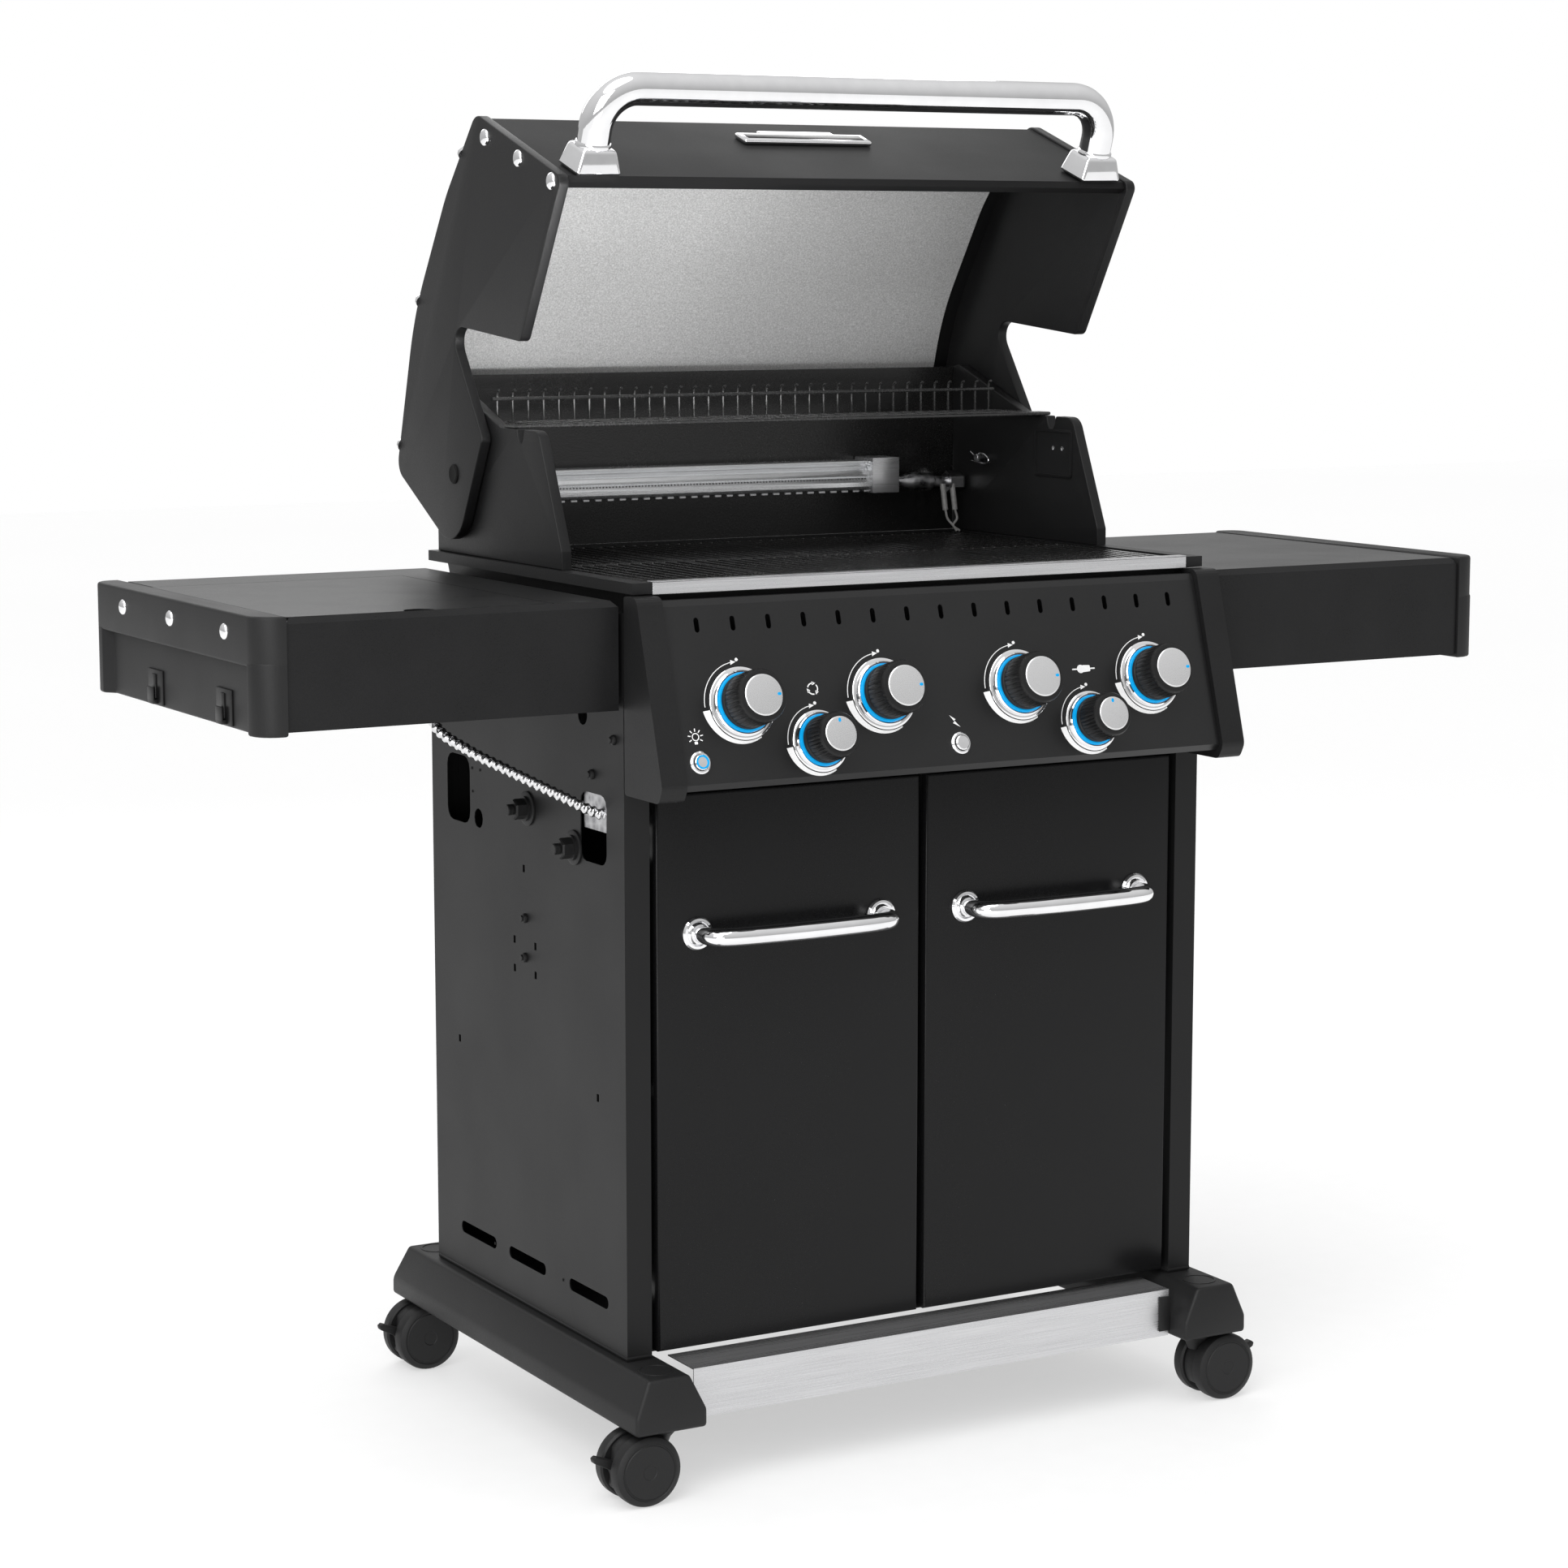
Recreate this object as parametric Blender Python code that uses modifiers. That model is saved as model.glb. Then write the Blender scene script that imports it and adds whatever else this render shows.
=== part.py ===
"""Gas barbecue grill on a double-door cabinet: four main burners, a rotisserie burner and a side burner.

Metres, +Z up, the doors face -Y. Everything hangs on one empty, grill_datum, which stands on the
centre of the cabinet's underside; the lengths below are measured from there.
"""

import math

import bmesh
import bpy
from mathutils import Matrix, Vector

# Stance: the floor is this far under the cabinet, and the datum this far behind the origin
CABINET_BASE = 0.132
DATUM_Y = 0.0390
FIT = 0.0003  # gap between pieces that touch

# Cabinet
CAB_HALF = 0.347
CAB_FRONT = -0.250
CAB_BACK = 0.2085
CAB_TOP = 0.757
SHEET = 0.0012
STILE_EDGE = 0.319
DOOR_EDGE = 0.3115
DOOR_TOP = 0.574
DOOR_DEPTH = 0.018
DOOR_PIN = (0.3152, -0.2526)
HANDLE_POSTS = (0.0515, 0.266)
HANDLE_Z = 0.432

# Sloped control panel: a point at its top edge and one at its bottom edge, (y, z)
PANEL_TOP = (-0.276, 0.764)
PANEL_FOOT = (-0.327, 0.594)
PANEL_HALF = 0.3195
KNOB_X = (-0.2439, -0.0813, 0.0813, 0.2439)
KNOB_DOWN = 0.1000
SMALL_KNOB_X = (-0.1625, 0.1625)
SMALL_KNOB_DOWN = 0.1430
BUTTON_X = {"light_button": -0.2999, "ignition_button": 0.0}
BUTTON_DOWN = 0.1558
SLOT_PITCH = 0.04032
SLOT_DOWN = 0.0194

# Firebox
RIM_TOP = 0.787
RIM_HALF = 0.342
RIM_FRONT = -0.260
RIM_BACK = 0.222
PLATE_IN, PLATE_OUT = 0.323, 0.335
GRID_WIDTH = 0.1605
GRID_FRONT, GRID_BACK = -0.2425, 0.2015
GRID_TOP = 0.7855
GRID_LEDGE = 0.7730

# Side tables
TABLE_IN, TABLE_OUT, TABLE_END = 0.3525, 0.700, 0.730
TABLE_FRONT, TABLE_BACK = -0.251, 0.200
TABLE_LOW, TABLE_TOP = 0.662, 0.770
BURNER_LID_X = (-0.697, -0.4195)
BURNER_LID_Y = (-0.2440, 0.1170)
BURNER_X, BURNER_Y = -0.556, -0.062

# Lid, described closed; the hinge empty turns it open
PIVOT_Y, PIVOT_Z = 0.1388, 0.8739
LID_OPEN = 61.0
LID_IN, LID_OUT = 0.3365, 0.348
LID_SHELL_SET_IN = 0.0025
LID_WALL = 0.010
TUBE_STAND_OFF = 0.0855
TUBE_RADIUS = 0.0172
LEG_X = 0.303
LID_LIP = (-0.2560, 0.8040)
LID_BROW = (-0.2205, 1.0015)

# Casters
SWIVEL_X, SWIVEL_FRONT, SWIVEL_BACK = 0.330, -0.287, 0.243
RAIL_LOW = -0.056
TRAIL = 0.025
WHEEL_R = 0.0365
WHEEL_HALF = 0.027
HOOD_HALF = 0.0078


def clear_scene():
    for obj in list(bpy.data.objects):
        bpy.data.objects.remove(obj, do_unlink=True)


def new_collection(name):
    made = bpy.data.collections.new(name)
    bpy.context.scene.collection.children.link(made)
    return made


def material(name, colour, roughness, metallic):
    made = bpy.data.materials.new(name)
    made.use_nodes = True
    shader = made.node_tree.nodes["Principled BSDF"]
    shader.inputs["Base Color"].default_value = (*colour, 1.0)
    shader.inputs["Roughness"].default_value = roughness
    shader.inputs["Metallic"].default_value = metallic
    made.diffuse_color = (*colour, 1.0)
    return made


clear_scene()
PARTS = new_collection("gas_barbecue_grill")
HELPERS = new_collection("cutters")
PAINT = material("black_paint", (0.035, 0.035, 0.037), 0.38, 0.0)
CAST = material("cast_black", (0.045, 0.045, 0.047), 0.45, 0.0)
PLASTIC = material("black_plastic", (0.030, 0.030, 0.032), 0.5, 0.0)
IRON = material("cast_iron", (0.055, 0.055, 0.056), 0.6, 0.4)
STEEL = material("stainless", (0.62, 0.62, 0.63), 0.28, 1.0)
CHROME = material("chrome", (0.85, 0.85, 0.86), 0.08, 1.0)
GREY = material("table_grey", (0.30, 0.30, 0.31), 0.5, 0.0)
BRASS = material("brass", (0.60, 0.45, 0.18), 0.35, 1.0)


def empty(name, location, parent, rotation=(0.0, 0.0, 0.0)):
    made = bpy.data.objects.new(name, None)
    made.empty_display_size = 0.03
    made.location = location
    made.rotation_euler = rotation
    made.parent = parent
    PARTS.objects.link(made)
    return made


ROOT = empty("grill_datum", (0.0, DATUM_Y, CABINET_BASE), None)


# ---- shapes -------------------------------------------------------------------------------------


def add_box(bm, low, high):
    """A box between two opposite corners; returns its vertices."""
    low, high = Vector(low), Vector(high)
    verts = bmesh.ops.create_cube(bm, size=1.0)["verts"]
    size = [high[i] - low[i] for i in range(3)]
    bmesh.ops.scale(bm, verts=verts, vec=size)
    bmesh.ops.translate(bm, verts=verts, vec=(low + high) / 2)
    return verts


def add_rod(bm, start, end, radius, sides=12, radius_end=None):
    """A cylinder or a cone from one point to another."""
    start, end = Vector(start), Vector(end)
    far = radius if radius_end is None else radius_end
    verts = bmesh.ops.create_cone(
        bm, cap_ends=True, segments=sides, radius1=radius, radius2=far, depth=(end - start).length
    )["verts"]
    turn = Vector((0, 0, 1)).rotation_difference(end - start).to_matrix().to_4x4()
    bmesh.ops.transform(bm, matrix=Matrix.Translation((start + end) / 2) @ turn, verts=verts)
    return verts


def add_rings(bm, rings, close):
    """A shell lofted through horizontal rectangles (x0, x1, y0, y1, z), the ends capped or joined."""
    loops = []
    for x0, x1, y0, y1, z in rings:
        loops.append([bm.verts.new(c) for c in ((x0, y0, z), (x1, y0, z), (x1, y1, z), (x0, y1, z))])
    pairs = list(zip(loops, loops[1:]))
    if close:
        pairs.append((loops[-1], loops[0]))
    else:
        bm.faces.new(loops[0])
        bm.faces.new(loops[-1])
    for a, b in pairs:
        for i in range(4):
            j = (i + 1) % 4
            bm.faces.new((a[i], a[j], b[j], b[i]))
    bmesh.ops.recalc_face_normals(bm, faces=bm.faces)


def put(name, mesh, finish, parent, collection=None):
    """An object holding the mesh, with its material, under its parent."""
    mesh.materials.clear()
    mesh.materials.append(finish)
    made = bpy.data.objects.new(name, mesh)
    made.parent = parent
    (collection or PARTS).objects.link(made)
    return made


def solid(name, bm, finish, parent=ROOT, round_over=0.0, steps=1):
    """An object from a bmesh, its edges rounded by a Bevel modifier where asked."""
    mesh = bpy.data.meshes.new(name)
    bmesh.ops.recalc_face_normals(bm, faces=bm.faces)
    bm.to_mesh(mesh)
    bm.free()
    made = put(name, mesh, finish, parent)
    if round_over:
        bevel = made.modifiers.new("round_over", "BEVEL")
        bevel.width = round_over
        bevel.segments = steps
        bevel.limit_method = "ANGLE"
        bevel.angle_limit = math.radians(30)
    return made


def box(name, low, high, finish, parent=ROOT, round_over=0.0, steps=1):
    bm = bmesh.new()
    add_box(bm, low, high)
    return solid(name, bm, finish, parent, round_over, steps)


def combine(target, operation, bm):
    """Cuts the bmesh's bodies from the target, or joins them to it."""
    mesh = bpy.data.meshes.new(target.name + "_" + operation.lower())
    bmesh.ops.recalc_face_normals(bm, faces=bm.faces)
    bm.to_mesh(mesh)
    bm.free()
    tool = put(mesh.name, mesh, target.data.materials[0], target.parent, HELPERS)
    tool.location = target.location
    tool.rotation_euler = target.rotation_euler
    tool.hide_render = True
    tool.display_type = "WIRE"
    step = target.modifiers.new(operation.lower(), "BOOLEAN")
    step.operation = operation
    step.solver = "EXACT"
    step.use_self = operation == "UNION"
    step.object = tool
    return target


def smooth(obj, degrees=35):
    obj.data.shade_smooth()
    obj.data.set_sharp_from_angle(angle=math.radians(degrees))
    return obj


def rounded(corners, steps=4):
    """A closed outline with an arc at each corner, from a list of (u, v, radius)."""
    points = []
    count = len(corners)
    for i, (u, v, radius) in enumerate(corners):
        here = Vector((u, v))
        before = (Vector(corners[i - 1][:2]) - here).normalized()
        after = (Vector(corners[(i + 1) % count][:2]) - here).normalized()
        half = math.acos(max(-1.0, min(1.0, before.dot(after)))) / 2
        if radius <= 0 or half > math.radians(89):
            points.append(here)
            continue
        centre = here + (before + after).normalized() * (radius / math.sin(half))
        start = here + before * (radius / math.tan(half)) - centre
        end = here + after * (radius / math.tan(half)) - centre
        sweep = start.angle_signed(end)
        for k in range(steps + 1):
            points.append(centre + Matrix.Rotation(-sweep * k / steps, 2) @ start)
    return points


def rectangle(u0, u1, v0, v1, radius=0.0, steps=3):
    return rounded([(u0, v0, radius), (u1, v0, radius), (u1, v1, radius), (u0, v1, radius)], steps)


def circle(u, v, radius, sides=12):
    turns = [2 * math.pi * k / sides for k in range(sides)]
    return [Vector((u + radius * math.cos(t), v + radius * math.sin(t))) for t in turns]


def flat_mesh(name, outlines, low, high, across):
    """A flat plate with holes: 2D outlines drawn across one axis and filled between low and high on it."""
    data = bpy.data.curves.new(name, "CURVE")
    data.dimensions = "2D"
    data.fill_mode = "BOTH"
    data.extrude = (high - low) / 2
    for outline in outlines:
        spline = data.splines.new("POLY")
        spline.points.add(len(outline) - 1)
        for point, at in zip(spline.points, outline):
            point.co = (at[0], at[1], 0.0, 1.0)
        spline.use_cyclic_u = True
    holder = bpy.data.objects.new(name + "_outline", data)
    HELPERS.objects.link(holder)
    bpy.context.view_layer.update()
    mesh = bpy.data.meshes.new_from_object(holder.evaluated_get(bpy.context.evaluated_depsgraph_get()))
    bpy.data.objects.remove(holder, do_unlink=True)
    columns = {"X": ((0, 1, 0), (0, 0, 1), (1, 0, 0)), "Y": ((1, 0, 0), (0, 0, 1), (0, -1, 0)),
               "Z": ((1, 0, 0), (0, 1, 0), (0, 0, 1))}[across]
    turn = Matrix(columns).transposed().to_4x4()
    middle = (low + high) / 2
    shift = {"X": (middle, 0, 0), "Y": (0, middle, 0), "Z": (0, 0, middle)}[across]
    mesh.transform(Matrix.Translation(shift) @ turn)
    bm = bmesh.new()
    bm.from_mesh(mesh)
    bmesh.ops.remove_doubles(bm, verts=bm.verts, dist=0.00002)
    bmesh.ops.recalc_face_normals(bm, faces=bm.faces)
    bm.to_mesh(mesh)
    bm.free()
    return mesh


def plate(name, outlines, low, high, across, finish, parent=ROOT):
    return put(name, flat_mesh(name, outlines, low, high, across), finish, parent)


def folded(name, bends, low, high, along, thick, finish, parent=ROOT, offset=1.0):
    """Folded sheet: a line of bends, drawn across an axis, drawn out along it and given thickness."""
    bm = bmesh.new()
    place = {
        "X": lambda a, b, w: (w, a, b),
        "Y": lambda a, b, w: (a, w, b),
        "Z": lambda a, b, w: (a, b, w),
    }[along]
    verts = [bm.verts.new(place(a, b, low)) for a, b in bends]
    edges = [bm.edges.new(pair) for pair in zip(verts, verts[1:])]
    pushed = bmesh.ops.extrude_edge_only(bm, edges=edges)["geom"]
    move = Vector(place(0, 0, high)) - Vector(place(0, 0, low))
    bmesh.ops.translate(bm, verts=[g for g in pushed if isinstance(g, bmesh.types.BMVert)], vec=move)
    mesh = bpy.data.meshes.new(name)
    bm.to_mesh(mesh)
    bm.free()
    made = put(name, mesh, finish, parent)
    skin = made.modifiers.new("sheet", "SOLIDIFY")
    skin.thickness = thick
    skin.offset = offset
    skin.use_even_offset = True
    return made


def turned(name, profile, steps, finish, parent=ROOT):
    """A turned piece: (radius, height) points from the top of its axis down its outer side."""
    mesh = bpy.data.meshes.new(name)
    bm = bmesh.new()
    verts = [bm.verts.new((r, 0.0, h)) for r, h in profile]
    for pair in zip(verts, verts[1:]):
        bm.edges.new(pair)
    bm.to_mesh(mesh)
    bm.free()
    made = put(name, mesh, finish, parent)
    spin = made.modifiers.new("turn", "SCREW")
    spin.steps = steps
    spin.render_steps = steps
    spin.use_merge_vertices = True
    spin.merge_threshold = 0.00005
    spin.use_smooth_shade = True
    return made


def tube_mesh(name, points, radius, resolution=2):
    data = bpy.data.curves.new(name, "CURVE")
    data.dimensions = "3D"
    data.bevel_depth = radius
    data.bevel_resolution = resolution
    data.use_fill_caps = True
    spline = data.splines.new("POLY")
    spline.points.add(len(points) - 1)
    for point, at in zip(spline.points, points):
        point.co = (*at, 1.0)
    holder = bpy.data.objects.new(name + "_route", data)
    HELPERS.objects.link(holder)
    bpy.context.view_layer.update()
    mesh = bpy.data.meshes.new_from_object(holder.evaluated_get(bpy.context.evaluated_depsgraph_get()))
    bpy.data.objects.remove(holder, do_unlink=True)
    bm = bmesh.new()
    bm.from_mesh(mesh)
    bmesh.ops.remove_doubles(bm, verts=bm.verts, dist=0.00002)
    bmesh.ops.recalc_face_normals(bm, faces=bm.faces)
    bm.to_mesh(mesh)
    bm.free()
    return mesh


def through(points, per_span=4):
    """Points on a smooth curve through the route's own points (Catmull-Rom)."""
    route = [Vector(p) for p in points]
    ends = [2 * route[0] - route[1], *route, 2 * route[-1] - route[-2]]
    made = []
    for a, b, c, d in zip(ends, ends[1:], ends[2:], ends[3:]):
        for k in range(per_span):
            t = k / per_span
            made.append(0.5 * (2 * b + (c - a) * t + (2 * a - 5 * b + 4 * c - d) * t**2
                               + (3 * b - a - 3 * c + d) * t**3))
    made.append(route[-1])
    return made


# ---- the sloped panel's own directions -----------------------------------------------------------

PANEL_LENGTH = math.dist(PANEL_TOP, PANEL_FOOT)
PANEL_DOWN = Vector((0.0, PANEL_FOOT[0] - PANEL_TOP[0], PANEL_FOOT[1] - PANEL_TOP[1])) / PANEL_LENGTH
PANEL_OUT = Vector((0.0, PANEL_DOWN.z, -PANEL_DOWN.y))
PANEL_TURN = math.atan2(-PANEL_OUT.y, PANEL_OUT.z)


def on_panel(x, down, out=0.0):
    return Vector((x, PANEL_TOP[0], PANEL_TOP[1])) + PANEL_DOWN * down + PANEL_OUT * out


# ---- stand ---------------------------------------------------------------------------------------


def foot_rail(side, name):
    """Moulded rail under one side of the cabinet, with a blind socket for each caster's stem."""
    inner, outer = 0.293, 0.373
    bm = bmesh.new()
    rings = []
    for a, b, y0, y1, z in ((inner, outer, -0.320, 0.280, RAIL_LOW), (inner, outer, -0.320, 0.280, -0.037),
                            (0.311, 0.358, -0.317, 0.268, -FIT)):
        x0, x1 = sorted((side * a, side * b))
        rings.append((x0, x1, y0, y1, z))
    add_rings(bm, rings, close=False)
    rail = solid(name, bm, PLASTIC, round_over=0.003)
    sockets = bmesh.new()
    hollow = []
    for a, b, y0, y1, z in ((0.297, 0.369, -0.258, 0.214, RAIL_LOW - 0.002),
                            (0.297, 0.369, -0.258, 0.214, -0.037),
                            (0.3145, 0.3545, -0.252, 0.208, -0.0045)):
        x0, x1 = sorted((side * a, side * b))
        hollow.append((x0, x1, y0, y1, z))
    add_rings(sockets, hollow, close=False)
    for y in (SWIVEL_FRONT, SWIVEL_BACK):
        add_rod(sockets, (side * SWIVEL_X, y, RAIL_LOW - 0.01), (side * SWIVEL_X, y, -0.022), 0.0062, 10)
    return combine(rail, "DIFFERENCE", sockets)


def caster(side, y, name):
    """Twin-wheel swivel caster: hood and stem, the wheel pair, and the brake lever."""
    hub = side * TRAIL
    hub_z = WHEEL_R - CABINET_BASE
    swivel = empty(name + "_swivel", (side * SWIVEL_X, y, 0.0), ROOT)
    bm = bmesh.new()
    add_rod(bm, (hub, -HOOD_HALF, hub_z), (hub, HOOD_HALF, hub_z), 0.0335, 20)
    hood = solid(name + "_hood", bm, PLASTIC, swivel)
    more = bmesh.new()
    add_box(more, (-0.0115, -HOOD_HALF + 0.0004, hub_z), (0.0115, HOOD_HALF - 0.0004, RAIL_LOW - FIT))
    combine(hood, "UNION", more)
    stem = bmesh.new()
    add_rod(stem, (0, 0, RAIL_LOW - 0.006), (0, 0, -0.0235), 0.0055, 10)
    combine(hood, "UNION", stem).modifiers[-1].name = "stem"
    cuts = bmesh.new()
    add_rod(cuts, (hub, -0.02, hub_z), (hub, 0.02, hub_z), 0.0046, 10)
    x0, x1 = sorted((hub + side * 0.0158, hub + side * 0.05))
    add_box(cuts, (x0, -0.0054, hub_z - 0.014), (x1, 0.0054, hub_z + 0.021))
    add_box(cuts, (-0.06, -0.02, -CABINET_BASE - 0.01), (0.08, 0.02, hub_z - 0.020))
    combine(hood, "DIFFERENCE", cuts)
    edge, inner = WHEEL_HALF, HOOD_HALF + 0.0012
    half = [(0.0, edge), (0.0325, edge), (WHEEL_R, edge - 0.004), (WHEEL_R, inner + 0.003), (0.0345, inner),
            (0.0040, inner)]
    profile = half + [(r, -h) for r, h in reversed(half)]
    wheels = turned(name + "_wheels", profile, 20, PLASTIC, swivel)
    wheels.location = (hub, 0.0, hub_z)
    wheels.rotation_euler = (math.pi / 2, 0.0, 0.0)
    outline = [(0.0215, -0.0100), (0.0290, -0.0100), (0.0320, 0.0010), (0.0505, 0.0110), (0.0515, 0.0150),
               (0.0480, 0.0175), (0.0300, 0.0105), (0.0225, 0.0085)]
    lever = plate(name + "_brake", [[(side * u, v) for u, v in outline]], -0.0045, 0.0045, "Y", PLASTIC,
                  swivel)
    lever.location = (hub, 0.0, hub_z)


def stand():
    foot_rail(-1, "foot_rail_left")
    foot_rail(1, "foot_rail_right")
    for side, word in ((-1, "left"), (1, "right")):
        caster(side, SWIVEL_FRONT, "caster_front_" + word)
        caster(side, SWIVEL_BACK, "caster_rear_" + word)
    folded("front_trim", [(-0.2330, -0.0046), (-0.2890, -0.0046), (-0.2890, -0.0560)], -0.2922, 0.2922, "X",
           SHEET, STEEL)


# ---- cabinet -------------------------------------------------------------------------------------


def side_panel(side, name):
    """Pressed side of the cabinet: front stile and rear return folded on, service openings cut out."""
    bends = [(STILE_EDGE, CAB_FRONT + 0.0190), (STILE_EDGE, CAB_FRONT), (CAB_HALF, CAB_FRONT),
             (CAB_HALF, CAB_BACK),
             (0.329, CAB_BACK)]
    panel = folded(name, [(side * a, b) for a, b in bends], FIT, CAB_TOP, "Z", SHEET, PAINT, offset=side)
    outlines = [rectangle(0.111, 0.169, 0.500, 0.573, 0.014), circle(0.090, 0.5095, 0.0107),
                rectangle(-0.2115, -0.1535, 0.500, 0.571, 0.012), circle(-0.160, 0.648, 0.0105)]
    for v in (0.057, -0.064, -0.2085):
        outlines.append(rectangle(v, v + 0.089, 0.0435, 0.0565, 0.006))
    for y, z in ((-0.046, 0.362), (-0.046, 0.3925), (0.004, 0.362), (0.004, 0.3925), (-0.020, 0.471),
                 (0.145, 0.260), (-0.188, 0.260)):
        outlines.append(rectangle(y - 0.0025, y + 0.0025, z - 0.004, z + 0.004))
    cuts = bmesh.new()
    for outline in outlines:
        wall = sorted((side * (CAB_HALF - 0.008), side * (CAB_HALF + 0.008)))
        cuts.from_mesh(flat_mesh("cut", [outline], *wall, "X"))
    # The stile's return stops above the doors, clear of the firebox
    x0, x1 = sorted((side * 0.3150, side * 0.3250))
    add_box(cuts, (x0, CAB_FRONT + 0.0030, 0.6000), (x1, CAB_FRONT + 0.0300, 0.7800))
    return combine(panel, "DIFFERENCE", cuts)


def door(side, name):
    """Folded steel door on pins at its outer edge, with a bow handle on two posts."""
    hinge = empty(name + "_hinge", (side * DOOR_PIN[0], DOOR_PIN[1], 0.0), ROOT)
    x0, x1 = sorted((side * 0.0040 - hinge.location.x, side * DOOR_EDGE - hinge.location.x))
    front, back = CAB_FRONT - DOOR_PIN[1], CAB_FRONT + DOOR_DEPTH - DOOR_PIN[1]
    bm = bmesh.new()
    low, high = 0.0050, DOOR_TOP
    skin = SHEET
    rings = [(x0, x1, low, high, back), (x0, x1, low, high, front),
             (x0 + skin, x1 - skin, low + skin, high - skin, front + skin),
             (x0 + skin, x1 - skin, low + skin, high - skin, back)]
    add_rings(bm, [rings[1], rings[0], rings[3], rings[2]], close=False)
    # The rings are stacked along Z; standing the pan up turns that stack to face forwards
    for vert in bm.verts:
        vert.co = (vert.co.x, vert.co.z, vert.co.y)
    solid(name, bm, PAINT, hinge)
    near, far = HANDLE_POSTS
    face = CAB_FRONT - FIT - DOOR_PIN[1]
    bow = [(near, face - 0.002), (near, face - 0.019), (near + 0.005, face - 0.030),
           (near + 0.017, face - 0.036),
           (near + 0.050, face - 0.040), ((near + far) / 2, face - 0.042), (far - 0.050, face - 0.040),
           (far - 0.017, face - 0.036), (far - 0.005, face - 0.030), (far, face - 0.019),
           (far, face - 0.002)]
    route = [(side * u - hinge.location.x, v, HANDLE_Z) for u, v in bow]
    handle = put(name.replace("door", "door_handle"), tube_mesh(name + "_bow", route, 0.0095, 3), CHROME,
                 hinge)
    smooth(handle)
    roses = bmesh.new()
    for u in HANDLE_POSTS:
        x = side * u - hinge.location.x
        add_rod(roses, (x, face, HANDLE_Z), (x, face - 0.005, HANDLE_Z), 0.0170, 20)
    combine(handle, "UNION", roses)


def cabinet():
    side_panel(-1, "side_panel_left")
    side_panel(1, "side_panel_right")
    bm = bmesh.new()
    outer, skirt = 0.3445, 0.0010
    front, back = -0.2300, 0.2045
    add_rings(bm, [(-outer, outer, front, back, 0.020), (-outer, outer, front, back, FIT),
                   (-outer + skirt, outer - skirt, front + skirt, back - skirt, FIT),
                   (-outer + skirt, outer - skirt, front + skirt, back - skirt, 0.019)], close=False)
    solid("cabinet_floor", bm, PAINT)
    outline = rectangle(-0.3275, 0.3275, 0.003, 0.600)
    vents = [rectangle(x - 0.004, x + 0.004, 0.500, 0.560, 0.0039, 2) for x in (-0.15, -0.09, -0.03, 0.03,
        0.09, 0.15)]
    hose_way = rectangle(-0.10, 0.10, 0.040, 0.120, 0.02)
    plate("rear_panel", [outline, *vents, hose_way], CAB_BACK - 0.0032, CAB_BACK - 0.0020, "Y", PAINT)
    door(-1, "door_left")
    door(1, "door_right")


# ---- control panel -------------------------------------------------------------------------------


def control_panel():
    """Folded fascia with cooling slots, and the cast cap at each end of it."""
    top, foot = PANEL_TOP, PANEL_FOOT
    bends = [(-0.2640, 0.7700), (top[0] + 0.004, 0.7700), top, foot, (foot[0] + 0.006, foot[1] - 0.007),
             (-0.2560, foot[1] - 0.0100)]
    panel = folded("control_panel", bends, -PANEL_HALF, PANEL_HALF, "X", SHEET, PAINT)
    cuts = bmesh.new()

    def cut_through(outline):
        shape = flat_mesh("cut", [outline], -0.006, 0.006, "Z")
        shape.transform(Matrix.Translation(on_panel(0, 0)) @ Matrix.Rotation(PANEL_TURN, 4, "X"))
        cuts.from_mesh(shape)

    for k in range(15):
        x = (k - 7) * SLOT_PITCH
        cut_through(rectangle(x - 0.0028, x + 0.0028, -SLOT_DOWN - 0.0076, -SLOT_DOWN + 0.0076, 0.00275, 2))
    for x in KNOB_X:
        cut_through(circle(x, -KNOB_DOWN, 0.0075))
    for x in SMALL_KNOB_X:
        cut_through(circle(x, -SMALL_KNOB_DOWN, 0.0075))
    for x in BUTTON_X.values():
        cut_through(circle(x, -BUTTON_DOWN, 0.0086))
    combine(panel, "DIFFERENCE", cuts)
    cap = [(-0.2535, 0.5780, 0.004), (-0.2535, 0.7745, 0.004), (-0.2800, 0.7745, 0.010),
           (-0.3330, 0.5930, 0.012),
           (-0.3250, 0.5780, 0.008)]
    for side, word in ((-1, "left"), (1, "right")):
        low, high = sorted((side * (PANEL_HALF + FIT), side * LID_OUT))
        plate("panel_end_cap_" + word, [rounded(cap)], low, high, "X", CAST)


def knob(name, x, down, profile):
    made = turned(name, profile, 18, PLASTIC)
    made.location = on_panel(x, down)
    made.rotation_euler = (PANEL_TURN, 0.0, 0.0)


def knobs_and_buttons():
    big = [(0.0, 0.0465), (0.0240, 0.0465), (0.0262, 0.0448), (0.0270, 0.0380), (0.0277, 0.0100),
           (0.0277, 0.0075),
           (0.0046, 0.0075), (0.0046, 0.0200), (0.0, 0.0200)]
    small = [(0.0, 0.0440), (0.0205, 0.0440), (0.0224, 0.0423), (0.0232, 0.0370), (0.0239, 0.0100),
             (0.0239, 0.0075),
             (0.0046, 0.0075), (0.0046, 0.0200), (0.0, 0.0200)]
    for k, x in enumerate(KNOB_X):
        knob(f"burner_knob_{k + 1}", x, KNOB_DOWN, big)
    knob("side_burner_knob", SMALL_KNOB_X[0], SMALL_KNOB_DOWN, small)
    knob("rotisserie_knob", SMALL_KNOB_X[1], SMALL_KNOB_DOWN, small)
    push = [(0.0, 0.0062), (0.0068, 0.0060), (0.0078, 0.0050), (0.0078, -0.0030), (0.0040, -0.0030),
            (0.0040, -0.0200),
            (0.0, -0.0200)]
    for name, x in BUTTON_X.items():
        knob(name, x, BUTTON_DOWN, push)


# ---- firebox -------------------------------------------------------------------------------------


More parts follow.
